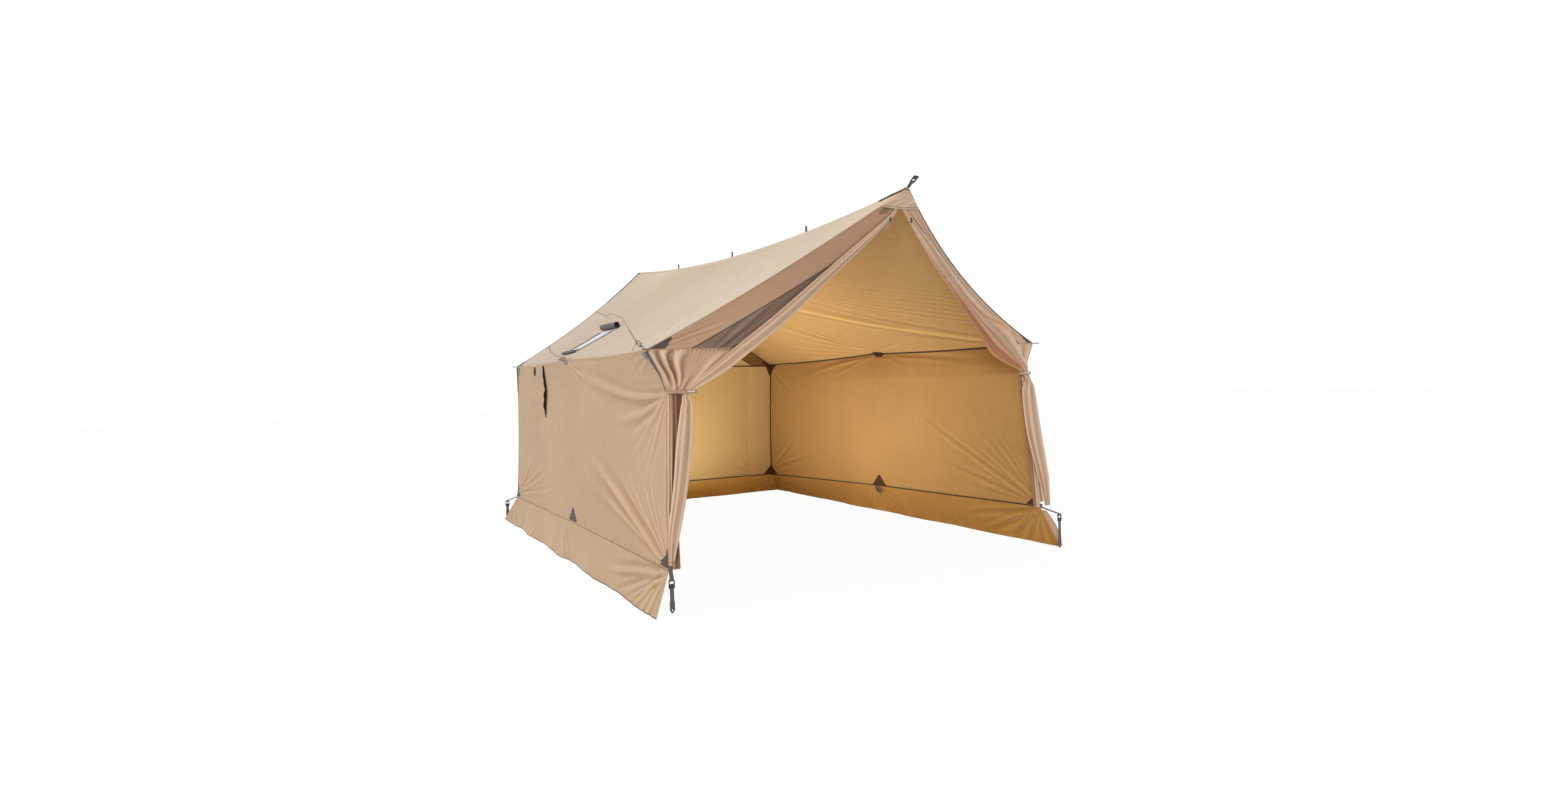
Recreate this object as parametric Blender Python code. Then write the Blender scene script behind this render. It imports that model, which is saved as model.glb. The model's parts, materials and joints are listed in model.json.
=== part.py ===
"""Hot tent: a ridge tent of thin canvas with upright walls, ground skirts, an open front whose
leaves are tied back to the corners, a closed back, a stove jack in the left roof slope, and the
webbing, buckles, loops and guylines that pitch it.

Metres, +Z up. The front faces -Y and the left wall stands at -X. The floor is at Z = 0 and the
origin lies on it, in the middle of the whole length and width.
"""

import math

import bmesh
import bpy
import numpy as np
from mathutils import Vector

# Driving dimensions of the pitched tent
RIDGE_HEIGHT_FRONT = 2.2
RIDGE_HEIGHT_BACK = 2.268
RIDGE_FRONT = 2.061
RIDGE_BACK = 2.122
RIDGE_SAG = 0.107
EAVE_HALF_WIDTH = 1.319
EAVE_HALF_LENGTH = 1.779
EAVE_HEIGHT = 1.349
SEAM_HALF_WIDTH = 1.313
SEAM_HALF_LENGTH = 1.826
SEAM_HEIGHT = 0.213
WALLS_SET_BACK = 0.096
SKIRT_SPREAD = 0.105
SKIRT_END_SPREAD = 0.072

# How the edges curve between their corners
SLOPE_EDGE_SAG = 0.034
SLOPE_EDGE_BOW = 0.089
EAVE_SPAN_SAG = 0.012
FRONT_EDGE_PULL = 0.08
BACK_EDGE_PULL = 0.015
SKIRT_BELLY = 0.018
SKIRT_RIPPLE = 0.011

# Cloth, webbing and the running gap between neighbours
CLOTH = 0.002
GAP = 0.0003
LAP = 0.0004
WEBBING = 0.0016
WEBBING_WIDTH = 0.022

# Gable bands, back door and its zip
BAND_WIDTH_LEFT = 0.24
BAND_WIDTH_RIGHT = 0.11
BAND_WIDTH_BACK = 0.24
ZIP_WIDTH = 0.024
EDGE_WEBBING_WIDTH = 0.02

# Stove jack and wall flap, measured back from the middle of the walls
JACK_PLACE = 0.37
JACK_LENGTH = 0.38
JACK_ROLL_RADIUS = 0.026
FLAP_PLACE = 0.75
FLAP_LENGTH = 0.45
FLAP_DROP = 0.42
FLAP_BULGE = 0.018

# Guylines
CORD_DIAMETER = 0.003
CORD_LIFT = 0.0013
TENSIONER_LENGTH = 0.03
TENSIONER_WIDTH = 0.012
TENSIONER_HEIGHT = 0.009
TENSIONER_PLACE = 0.34
TENSIONER_SHARE = 0.12
BORE_PLAY = 0.0007
ROUTE_POINTS = 60

# Where each guyline lies on the roof: shares of its length and of its slope
ROOF_LINE_SHARES = (
    (0.03, 0.985), (0.12, 0.94), (0.35, 0.78), (0.58, 0.61), (0.79, 0.50), (0.99, 0.42),
)
SIDE_LINE_SHARES = ((0.515, 0.985), (0.60, 0.955), (0.75, 0.90), (0.88, 0.85), (0.99, 0.79))

# How far one share of pull moves a corner of the tent as it is pitched
PITCH_PULL = 0.05

SIDES = {"left": -1.0, "right": 1.0}
ENDS = {"front": -1.0, "back": 1.0}

# Pull of each corner from its even place, in shares of PITCH_PULL: to +X, to +Y and up
EAVE_PULL_SHARES = {
    ("left", "front"): (-0.96, 0.30, -0.12),
    ("right", "front"): (0.28, -0.26, 0.28),
    ("left", "back"): (0.78, -0.14, 0.14),
    ("right", "back"): (-0.36, 0.18, -0.32),
}
SEAM_PULL_SHARES = {
    ("left", "front"): (0.02, 0.0, 0.12),
    ("right", "front"): (0.32, -0.14, 1.14),
    ("left", "back"): (0.18, -0.06, -0.34),
    ("right", "back"): (-0.28, 0.06, -0.72),
}
PEAK_PULL_SHARES = {"front": (0.48, 0.0, 0.0), "back": (-0.42, 0.0, 0.0)}
EAVE_MIDDLE_PULL_SHARES = {"left": (0.06, 0.0, 0.08), "right": (0.66, 0.0, 0.50)}
SEAM_MIDDLE_PULL_SHARES = {"left": (-0.22, 0.0, 0.38), "right": (0.12, 0.0, 0.28)}

# Where the front leaves hang, from the even corner of the eave: in towards the middle, in shares of
# EAVE_HALF_WIDTH, and up, in shares of EAVE_HEIGHT
LEFT_LEAF_PATH_SHARES = (
    (0.974, 0.520), (0.841, 0.388), (0.553, 0.130), (0.299, -0.053), (0.121, -0.165),
    (0.106, -0.222), (0.088, -0.356), (0.062, -0.519), (0.026, -0.694), (0.014, -0.800),
)
LEFT_LEAF_WIDTH_SHARES = (0.28, 0.62, 1.0, 1.0, 0.40, 0.80, 1.12, 1.05, 0.85, 0.40)
RIGHT_LEAF_PATH_SHARES = (
    (0.918, 0.522), (0.719, 0.385), (0.523, 0.248), (0.360, 0.126), (0.205, 0.015),
    (0.068, -0.139), (0.064, -0.222), (0.042, -0.415), (0.002, -0.600), (-0.040, -0.790),
)
RIGHT_LEAF_WIDTH_SHARES = (0.30, 0.85, 1.10, 1.75, 3.10, 0.50, 1.30, 1.55, 1.15, 0.50)
LEAF_HALF_WIDTH = 0.034
LEAF_HALF_DEPTH = 0.024
LEAF_TIE_POINTS = {"left": 4, "right": 5}
LEAF_RINGS = 30
TIE_REACH = 3
LEAF_SIDES = 20
LEAF_LOBES = 5
LEAF_FOLD_SHARE = 0.13
CLOTH_FACE_SHARE = 0.58
CORNER_FACE_SHARE = 0.75
STRIP_FOLD = 0.009
STRIP_WIDTH = 0.062

# Hoods over the peaks, in shares of the slope's length
HOOD_TOP_SHARE = 0.012
HOOD_SHARE = 0.10
HOOD_DIP_SHARE = 0.15
HOOD_ROW_SHARES = (0.0, 0.3, 0.6, 0.85, 1.0)
HOOD_COLUMN_SHARES = (0.0, 0.2, 0.4, 0.6, 0.8, 1.0)

# Ties of the front leaves
TIE_BAND_WIDTH = 0.02
TIE_SAMPLES = 12
TOGGLE_LENGTH = 0.04
TOGGLE_DIAMETER = 0.01

# Zip sliders
SLIDER_WIDTH = 0.010
SLIDER_DEPTH = 0.003
SLIDER_LENGTH = 0.028

# Ladder locks, their anchors and the stake straps
BAR = 0.004
LOCK_WIDTH = 0.032
LOCK_HEIGHT = 0.042
LOCK_DEPTH = 0.007
LOCK_SIDES = 16
LOCK_WINDOW = 0.016
STRAP_PLAY = 0.0006
ANCHOR_DROP = 0.05
ANCHOR_TAIL = 0.012
END_LOOP_STEPS = 7
ANCHOR_INSET = 0.003
ANCHOR_SPREAD = 0.075
ANCHOR_SPREAD_SHARES = {
    ("left", "front"): 0.0, ("right", "front"): 1.0, ("left", "back"): 1.0, ("right", "back"): 0.0,
}
STRAP_SWING_ROOM = 0.013
TAB_WIDTH = 0.028
TAB_LENGTH = 0.065
TAB_POINT = 0.014
GROMMET = 0.008
GROUND_CLEARANCE = 0.004
PEAK_STRAP_REACH = 0.085
PEAK_STRAP_RUN = 0.17
PEAK_STRAP_RISE = math.radians(31.5)

# Loops
RIDGE_LOOP_HEIGHT = 0.04
RIDGE_LOOP_SHARES = (-0.517, -0.0057, 0.49)
GUY_LOOP_REACH = 0.045
GUY_LOOP_WIDTH = 0.028
GUY_LOOP_CORD = 0.005
STAKE_LOOP_REACH = 0.087
STAKE_LOOP_WIDTH = 0.07
STAKE_LOOP_CORD = 0.006
STAKE_LOOP_LEAN = math.radians(24.0)
LOOP_STEPS = 16
LOOP_SIDES = 6

# Small helpers

def material(name, colour, roughness, metallic=0.0):
    """A plain Principled material."""
    made = bpy.data.materials.new(name)
    made.use_nodes = True
    shader = made.node_tree.nodes["Principled BSDF"]
    shader.inputs["Base Color"].default_value = (*colour, 1.0)
    shader.inputs["Roughness"].default_value = roughness
    shader.inputs["Metallic"].default_value = metallic
    return made


def vec(*xyz):
    return np.array(xyz, float)


def unit(v):
    return v / np.linalg.norm(v)


def empty(name, place, turn=(0.0, 0.0, 0.0), parent=None):
    """An axis that pieces hang on."""
    made = bpy.data.objects.new(name, None)
    made.location = tuple(place)
    made.rotation_euler = turn
    made.parent = parent
    bpy.context.scene.collection.objects.link(made)
    return made


def solid(name, points, faces, look, origin=(0.0, 0.0, 0.0), parent=None, smooth=True):
    """One named object from points and faces, with its origin at the given place."""
    mesh = bpy.data.meshes.new(name)
    mesh.from_pydata([tuple(np.subtract(p, origin)) for p in points], [], faces)
    shape = bmesh.new()
    shape.from_mesh(mesh)
    bmesh.ops.recalc_face_normals(shape, faces=shape.faces)
    shape.to_mesh(mesh)
    shape.free()
    if smooth:
        mesh.shade_smooth()
        mesh.set_sharp_from_angle(angle=math.radians(40.0))
    mesh.materials.append(look)
    made = bpy.data.objects.new(name, mesh)
    made.location = tuple(origin)
    made.parent = parent or TENT
    bpy.context.scene.collection.objects.link(made)
    return made


def sagged(start, end, shares, sag):
    """Points from start to end that hang away from the straight line by sag in the middle."""
    t = np.asarray(shares)[:, None]
    return start + (end - start) * t + np.asarray(sag) * 4.0 * t * (1.0 - t)


def smooth_line(points, count):
    """Evenly numbered points on a Catmull-Rom curve through the given ones."""
    points = np.asarray(points, float)
    padded = np.vstack([2 * points[0] - points[1], points, 2 * points[-1] - points[-2]])
    made = []
    for t in np.linspace(0.0, len(points) - 1.0, count):
        i = min(int(t), len(points) - 2)
        f = t - i
        a, b, c, d = padded[i : i + 4]
        made.append(
            0.5 * (2 * b + (c - a) * f + (2 * a - 5 * b + 4 * c - d) * f**2
                   + (3 * b - a - 3 * c + d) * f**3)
        )
    return np.array(made)


# The tent's corners and edge lines

def corner(half_width, half_length, height, side, end, pull):
    even = vec(SIDES[side] * half_width, WALLS_SET_BACK + ENDS[end] * half_length, height)
    return even + PITCH_PULL * np.array(pull)


def eave_corner(side, end):
    pull = EAVE_PULL_SHARES[side, end]
    return corner(EAVE_HALF_WIDTH, EAVE_HALF_LENGTH, EAVE_HEIGHT, side, end, pull)


def seam_corner(side, end):
    pull = SEAM_PULL_SHARES[side, end]
    return corner(SEAM_HALF_WIDTH, SEAM_HALF_LENGTH, SEAM_HEIGHT, side, end, pull)


def peak(end):
    reach, height = {
        "front": (-RIDGE_FRONT, RIDGE_HEIGHT_FRONT),
        "back": (RIDGE_BACK, RIDGE_HEIGHT_BACK),
    }[end]
    return vec(0.0, reach, height) + PITCH_PULL * np.array(PEAK_PULL_SHARES[end])


def two_spans(start, middle, end, shares, sag):
    """A line hung over three points, sagging between them."""
    line = []
    for t in shares:
        a, b, f = (start, middle, 2 * t) if t < 0.5 else (middle, end, 2 * t - 1)
        line.append(a + (b - a) * f + np.asarray(sag) * 4.0 * f * (1.0 - f))
    return np.array(line)


def ridge_line(shares):
    return sagged(peak("front"), peak("back"), shares, (0.0, 0.0, -RIDGE_SAG))


def eave_line(side, shares):
    start, end = eave_corner(side, "front"), eave_corner(side, "back")
    middle = (start + end) / 2 + PITCH_PULL * np.array(EAVE_MIDDLE_PULL_SHARES[side])
    sag = (-SIDES[side] * EAVE_SPAN_SAG, 0.0, -EAVE_SPAN_SAG)
    return two_spans(start, middle, end, shares, sag)


def seam_line(side, shares):
    start, end = seam_corner(side, "front"), seam_corner(side, "back")
    middle = (start + end) / 2 + PITCH_PULL * np.array(SEAM_MIDDLE_PULL_SHARES[side])
    return two_spans(start, middle, end, shares, (0.0, 0.0, 0.0))


def slope_edge(side, end, shares):
    """The edge of the roof from a peak down to an eave corner, drawn in by its cut."""
    start, stop = peak(end), eave_corner(side, end)
    fall = math.atan2(start[2] - stop[2], EAVE_HALF_WIDTH)
    sag = (
        -SIDES[side] * math.sin(fall) * SLOPE_EDGE_SAG,
        -ENDS[end] * SLOPE_EDGE_BOW,
        -math.cos(fall) * SLOPE_EDGE_SAG,
    )
    return sagged(start, stop, shares, sag)


FRONT_PULL_AT_SHARES = (0.0, 0.115, 0.183, 0.31, 0.735, 1.0)
FRONT_PULL_SHARES = (0.0, 0.76, 1.0, 0.86, 0.2, 0.0)


def corner_edge(side, end, shares):
    """The upright edge of a wall, drawn in towards the middle of the tent."""
    start, stop = eave_corner(side, end), seam_corner(side, end)
    t = np.asarray(shares)
    if end == "front":
        pull = FRONT_EDGE_PULL * np.interp(t, FRONT_PULL_AT_SHARES, FRONT_PULL_SHARES)
    else:
        pull = BACK_EDGE_PULL * 4.0 * t * (1.0 - t)
    line = start + (stop - start) * t[:, None]
    line[:, 0] -= SIDES[side] * pull
    return line


def coons(top, bottom, first, last):
    """A sheet stretched between four edge lines that share their ends."""
    u = np.linspace(0.0, 1.0, len(top))
    u = np.r_[0.0, np.cumsum(np.linalg.norm(np.diff(top, axis=0), axis=1))]
    u = (u / u[-1])[None, :, None]
    v = np.r_[0.0, np.cumsum(np.linalg.norm(np.diff(first, axis=0), axis=1))]
    v = (v / v[-1])[:, None, None]
    ruled = (1 - v) * top[None] + v * bottom[None]
    across = (1 - u) * first[:, None] + u * last[:, None]
    corners = (
        (1 - v) * (1 - u) * top[0] + (1 - v) * u * top[-1]
        + v * (1 - u) * bottom[0] + v * u * bottom[-1]
    )
    return ruled + across - corners


# Sample places along the tent, down the slopes and down the walls

SAME_SHARE = 0.004

def with_places(regular, *special):
    """Regular shares with special ones added, in order, where they aren't all but the same."""
    near = 0.35 / len(regular)
    made = [0.0, 1.0]
    for share in [*special, *regular]:
        room = near if share in regular else SAME_SHARE
        if min(abs(share - other) for other in made) > room:
            made.append(share)
    return sorted(made)


def nearest(shares, share):
    """Which of the sample places lies at a share."""
    return int(np.argmin(np.abs(np.array(shares) - share)))


def length_share(place):
    """The share of the wall's length at a place measured back from its middle."""
    return 0.5 + place / (2 * EAVE_HALF_LENGTH)


EDGE_WEBBING_SHARE = 1.0 - EDGE_WEBBING_WIDTH / (RIDGE_FRONT + RIDGE_BACK)
JACK_SHARES = (length_share(JACK_PLACE), length_share(JACK_PLACE + JACK_LENGTH))
FLAP_SHARES = (length_share(FLAP_PLACE), length_share(FLAP_PLACE + FLAP_LENGTH))
MIDDLE_SHARE = 0.5
TIE_SHARE = 0.183
EVEN_LENGTH_SHARES = (0.04, 0.13, 0.24, 0.37, 0.62, 0.75, 0.85, 0.93)
LENGTH_SHARES = with_places(
    EVEN_LENGTH_SHARES, MIDDLE_SHARE, EDGE_WEBBING_SHARE, *JACK_SHARES, *FLAP_SHARES
)
SLOPE_SHARES = (0.0, 0.06, 0.18, 0.34, 0.5, 0.65, 0.76, 0.88, 1.0)
JACK_ROWS = (5, 7)
EDGE_WEBBING_ROWS = 3
FLAP_SHARE = FLAP_DROP / (EAVE_HEIGHT - SEAM_HEIGHT)
EVEN_WALL_SHARES = (0.09, 0.31, 0.5, 0.66, 0.82, 0.93)
WALL_SHARES = with_places(EVEN_WALL_SHARES, TIE_SHARE, FLAP_SHARE)
TIE_ROW = nearest(WALL_SHARES, TIE_SHARE)
SKIRT_ROW_SHARES = (0.0, 0.35, 0.7, 1.0)


# Cloth panels, whose neighbours meet in a mitre along each shared seam

PANELS = {}
SEAM_POINTS = []
SEAM_NORMALS = []
MIDDLE_OF_TENT = vec(0.0, WALLS_SET_BACK, EAVE_HEIGHT / 2)


def normals_at(point):
    """The list of normals noted for a point on a seam, begun if it's new."""
    if SEAM_POINTS:
        apart = np.abs(np.array(SEAM_POINTS) - point).max(axis=1)
        found = int(np.argmin(apart))
        if apart[found] < GAP:
            return SEAM_NORMALS[found]
    SEAM_POINTS.append(point)
    SEAM_NORMALS.append([])
    return SEAM_NORMALS[-1]


def grid_normals(grid):
    """The outward normal at each point of a grid of points."""
    down, across = np.gradient(grid, axis=0), np.gradient(grid, axis=1)
    normals = np.cross(down, across)
    normals /= np.linalg.norm(normals, axis=2, keepdims=True)
    away = ((grid - MIDDLE_OF_TENT) * normals).sum()
    return normals if away > 0 else -normals


def panel(name, grid, look, level_hem=False):
    """Notes a panel, so that its seams can be mitred with its neighbours' before it is made."""
    normals = grid_normals(grid)
    PANELS[name] = (grid, normals, look, level_hem)
    rows, columns = grid.shape[:2]
    for i in range(rows):
        for j in range(columns):
            if i in (0, rows - 1) or j in (0, columns - 1):
                normals_at(grid[i, j]).append(normals[i, j])


def offset_at(point, half):
    """The step from the cloth's middle to its face where it meets its neighbours."""
    shared = normals_at(point)
    return np.linalg.lstsq(np.array(shared), np.full(len(shared), half), rcond=0.25)[0]


def drawn_in(grid, by):
    """The grid with each border moved in along the cloth."""
    made = grid.copy()
    for here, there in ((0, 1), (-1, -2)):
        step = grid[there] - grid[here]
        made[here] += step / np.linalg.norm(step, axis=1, keepdims=True) * by
    for here, there in ((0, 1), (-1, -2)):
        step = grid[:, there] - grid[:, here]
        made[:, here] += step / np.linalg.norm(step, axis=1, keepdims=True) * by
    return made


def shell_faces(rows, columns):
    """Faces of a thin closed shell over a grid: front, back and the four rims."""
    n = rows * columns
    at = lambda i, j: i * columns + j
    faces = []
    for i in range(rows - 1):
        for j in range(columns - 1):
            a, b, c, d = at(i, j), at(i, j + 1), at(i + 1, j + 1), at(i + 1, j)
            faces += [(a, b, c), (a, c, d), (a + n, c + n, b + n), (a + n, d + n, c + n)]
    rim = [at(0, j) for j in range(columns)] + [at(i, columns - 1) for i in range(1, rows)]
    rim += [at(rows - 1, j) for j in range(columns - 2, -1, -1)]
    rim += [at(i, 0) for i in range(rows - 2, 0, -1)]
    for a, b in zip(rim, rim[1:] + rim[:1]):
        faces.append((b, a, a + n, b + n))
    return faces


def shell(name, grid, steps, look, **more):
    """A closed shell whose faces lie one step either side of the grid."""
    rows, columns = grid.shape[:2]
    points = np.concatenate([(grid + steps).reshape(-1, 3), (grid - steps).reshape(-1, 3)])
    return solid(name, points, shell_faces(rows, columns), look, **more)


def make_panels():
    for name, (grid, normals, look, level_hem) in PANELS.items():
        steps = normals * (CLOTH / 2)
        rows, columns = grid.shape[:2]
        for i in range(rows):
            for j in range(columns):
                if i in (0, rows - 1) or j in (0, columns - 1):
                    steps[i, j] = offset_at(grid[i, j], CLOTH / 2)
        made = drawn_in(grid, LAP / 2)
        if level_hem:
            made[-1, :, 2] = 0.0
            flat = steps[-1] * (1, 1, 0)
            length = np.linalg.norm(steps[-1], axis=1, keepdims=True)
            steps[-1] = flat / np.linalg.norm(flat, axis=1, keepdims=True) * length
        shell(name, made, steps, look)


def overlay(name, rows, columns, base, look, thickness=CLOTH, bulge=None, **more):
    """A patch that lies on part of a panel, over the same sample places."""
    grid, normals = PANELS[base][:2]
    part = grid[rows[0] : rows[1] + 1, columns[0] : columns[1] + 1]
    out = normals[rows[0] : rows[1] + 1, columns[0] : columns[1] + 1]
    rise = CLOTH / 2 + GAP + LAP + thickness / 2
    lifted = part + out * (rise + (0.0 if bulge is None else bulge))
    return shell(name, lifted, out * (thickness / 2), look, **more)


# Straps, bundles and tubes

def strap(name, path, width_way, look, width=WEBBING_WIDTH, thickness=WEBBING, **more):
    """A flat strap along a path, its width lying along width_way."""
    path = np.asarray(path, float)
    way = unit(np.asarray(width_way, float))
    along = np.gradient(path, axis=0)
    up = np.cross(along, way)
    up /= np.linalg.norm(up, axis=1, keepdims=True)
    side = np.broadcast_to(way, path.shape) * (width / 2)
    grid = np.stack([path - side, path + side], axis=1)
    steps = np.repeat(up[:, None], 2, axis=1) * (thickness / 2)
    return shell(name, grid, steps, look, **more)


def swept(name, rings, look, closed=False, **more):
    """A solid over rings of points, capped at both ends unless its path is closed."""
    count, sides = len(rings), len(rings[0])
    points = np.concatenate(rings)
    faces = []
    for i in range(count if closed else count - 1):
        for j in range(sides):
            a, b = i * sides + j, i * sides + (j + 1) % sides
            c, d = (i + 1) % count * sides + (j + 1) % sides, (i + 1) % count * sides + j
            faces.append((a, b, c, d))
    if not closed:
        faces.append(tuple(range(sides)))
        faces.append(tuple(range((count - 1) * sides, count * sides)))
    return solid(name, points, faces, look, **more)


def ring(centre, along, radius, sides, up=(0.0, 0.0, 1.0)):
    """A circle of points round a centre, square to a direction."""
    along = unit(np.asarray(along, float))
    first = np.cross(along, up)
    first = unit(first if np.linalg.norm(first) > 1e-6 else np.cross(along, (1.0, 0.0, 0.0)))
    second = np.cross(along, first)
    turns = np.arange(sides) / sides * 2 * math.pi
    return centre + radius * (np.cos(turns)[:, None] * first + np.sin(turns)[:, None] * second)


def loop_of_cord(name, start, out, across, reach, width, look, radius, **more):
    """A closed loop of cord that stands out from a point."""
    out, across = unit(np.asarray(out, float)), unit(np.asarray(across, float))
    turns = np.arange(LOOP_STEPS) / LOOP_STEPS * 2 * math.pi
    bend = width / 2
    path = [
        start + out * (radius + bend + (reach - 2 * bend - 2 * radius) * (math.cos(t) < 0)
                       - bend * math.cos(t)) + across * bend * math.sin(t)
        for t in turns
    ]
    path = np.array(path)
    ahead = np.roll(path, -1, axis=0) - np.roll(path, 1, axis=0)
    flat = np.cross(out, across)
    rings = [ring(p, d, radius, LOOP_SIDES, flat) for p, d in zip(path, ahead)]
    return swept(name, rings, look, closed=True, **more)


def tube(name, route, diameter, look, count):
    """A cord as a curve with a round section, along a smooth line through its route."""
    data = bpy.data.curves.new(name, "CURVE")
    data.dimensions = "3D"
    data.bevel_depth = diameter / 2
    data.bevel_resolution = 2
    data.use_fill_caps = True
    spline = data.splines.new("POLY")
    line = smooth_line(route, count)
    spline.points.add(len(line) - 1)
    for point, place in zip(spline.points, line):
        point.co = (*place, 1.0)
    data.materials.append(look)
    made = bpy.data.objects.new(name, data)
    made.parent = TENT
    bpy.context.scene.collection.objects.link(made)
    return made


def cut(target, *cutters):
    for tool in cutters:
        change = target.modifiers.new("cut_" + tool.name, "BOOLEAN")
        change.operation = "DIFFERENCE"
        change.solver = "EXACT"
        change.object = tool


def box_points(low, high):
    return [(x, y, z) for x in (low[0], high[0]) for y in (low[1], high[1]) for z in (low[2], high[2])]


BOX_FACES = [(0, 1, 3, 2), (4, 6, 7, 5), (0, 4, 5, 1), (2, 3, 7, 6), (0, 2, 6, 4), (1, 5, 7, 3)]


def block(name, centre, axes, sizes, look, **more):
    """A box on its own axes."""
    steps = [np.asarray(a, float) * s / 2 for a, s in zip(axes, sizes)]
    points = [
        centre + i * steps[0] + j * steps[1] + k * steps[2]
        for i in (-1, 1) for j in (-1, 1) for k in (-1, 1)
    ]
    return solid(name, points, BOX_FACES, look, **more)


def plate(name, outline, depth, look, place, parent):
    """A flat plate from an outline in local X and Z, its thickness along local Y."""
    n = len(outline)
    points = [(x, -depth / 2, z) for x, z in outline] + [(x, depth / 2, z) for x, z in outline]
    faces = [tuple(range(n)), tuple(range(2 * n - 1, n - 1, -1))]
    faces += [(i, (i + 1) % n, (i + 1) % n + n, i + n) for i in range(n)]
    made = solid(name, points, faces, look, parent=parent, smooth=False)
    made.location = tuple(place)
    return made


def box_cutter(name, size, place, parent):
    """A box that only cuts."""
    half = np.asarray(size) / 2
    points = box_points(-half, half)
    made = solid(name, points, BOX_FACES, MATERIALS["dark_plastic"], parent=parent, smooth=False)
    made.location = tuple(place)
    return as_cutter(made)


def round_cutter(name, radius, depth, place, parent):
    """A cylinder along local Y that only cuts."""
    rings = [ring(vec(0.0, y, 0.0), (0.0, 1.0, 0.0), radius, LOCK_SIDES) for y in (-depth, depth)]
    made = swept(name, rings, MATERIALS["dark_plastic"], parent=parent)
    made.location = tuple(place)
    return as_cutter(made)


def as_cutter(made):
    made.hide_render = True
    made.display_type = "WIRE"
    return made


# Start from nothing

for old in list(bpy.data.objects):
    bpy.data.objects.remove(old)

TENT = None
TENT = empty("tent", (0.0, 0.0, 0.0))
MATERIALS = {
    "roof_cloth": material("roof_cloth", (0.69, 0.58, 0.45), 0.8),
    "wall_cloth": material("wall_cloth", (0.53, 0.38, 0.25), 0.8),
    "band_cloth": material("band_cloth", (0.45, 0.30, 0.20), 0.8),
    "skirt_cloth": material("skirt_cloth", (0.50, 0.37, 0.24), 0.8),
    "leaf_cloth": material("leaf_cloth", (0.60, 0.43, 0.34), 0.6),
    "mesh_cloth": material("mesh_cloth", (0.16, 0.11, 0.09), 0.8),
    "webbing": material("webbing", (0.17, 0.15, 0.13), 0.7),
    "dark_plastic": material("dark_plastic", (0.03, 0.03, 0.03), 0.4),
    "pale_plastic": material("pale_plastic", (0.6, 0.58, 0.5), 0.4),
    "zip_tape": material("zip_tape", (0.10, 0.07, 0.05), 0.7),
    "cord": material("cord", (0.13, 0.12, 0.11), 0.7),
    "stove_panel": material("stove_panel", (0.80, 0.80, 0.82), 0.6),
}


# Roof and walls

for side in SIDES:
    panel(
        "roof_panel_" + side,
        coons(
            ridge_line(LENGTH_SHARES), eave_line(side, LENGTH_SHARES),
            slope_edge(side, "front", SLOPE_SHARES), slope_edge(side, "back", SLOPE_SHARES),
        ),
        MATERIALS["roof_cloth"],
    )
    panel(
        "wall_panel_" + side,
        coons(
            eave_line(side, LENGTH_SHARES), seam_line(side, LENGTH_SHARES),
            corner_edge(side, "front", WALL_SHARES), corner_edge(side, "back", WALL_SHARES),
        ),
        MATERIALS["wall_cloth"],
    )


# Ground skirts

def hem_corner(side, end):
    top = seam_corner(side, end)
    return vec(top[0] + SIDES[side] * SKIRT_SPREAD, top[1] + ENDS[end] * SKIRT_END_SPREAD, 0.0)


def skirt_edge(side, end):
    return sagged(seam_corner(side, end), hem_corner(side, end), SKIRT_ROW_SHARES, (0, 0, 0))


def skirt_grid(top, first, last, outward, ripples):
    """A skirt from its seam down to a rippled hem."""
    count = len(top)
    u = np.linspace(0.0, 1.0, count)
    bottom = sagged(first[-1], last[-1], u, (0, 0, 0))
    wave = np.sin(u * math.pi * ripples) * np.sin(u * math.pi) ** 0.5
    bottom = bottom + np.outer(SKIRT_RIPPLE * wave, outward)
    grid = coons(top, bottom, first, last)
    v = np.array(SKIRT_ROW_SHARES)[:, None, None]
    belly = SKIRT_BELLY * 4 * v * (1 - v) * np.sin(u * math.pi)[None, :, None]
    return grid + belly * np.asarray(outward)


RIPPLES = {"left": 9, "right": 9, "back": 7}
for side in SIDES:
    # The seam keeps the wall's sample places, so that the two meet in one mitre.
    panel(
        "snow_skirt_" + side,
        skirt_grid(
            seam_line(side, LENGTH_SHARES), skirt_edge(side, "front"), skirt_edge(side, "back"),
            (SIDES[side], 0.0, 0.0), RIPPLES[side],
        ),
        MATERIALS["skirt_cloth"],
        level_hem=True,
    )


# Gables: rows of points from edge to edge, from just under the peak to the seam

def gable_rows(end):
    edges = []
    for side in SIDES:
        slope = slope_edge(side, end, SLOPE_SHARES)[1:]
        edges.append(np.concatenate([slope, corner_edge(side, end, WALL_SHARES)[1:]]))
    return edges


def between(first, last, share):
    return first + (last - first) * share


SLOPE_ROWS = len(SLOPE_SHARES) - 1
NARROW_SHARE = 0.44


def band_share(width, half):
    """Where a band's inner edge lies across a row, held off the middle near the peak."""
    return min(width / (2 * half), NARROW_SHARE)


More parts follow.
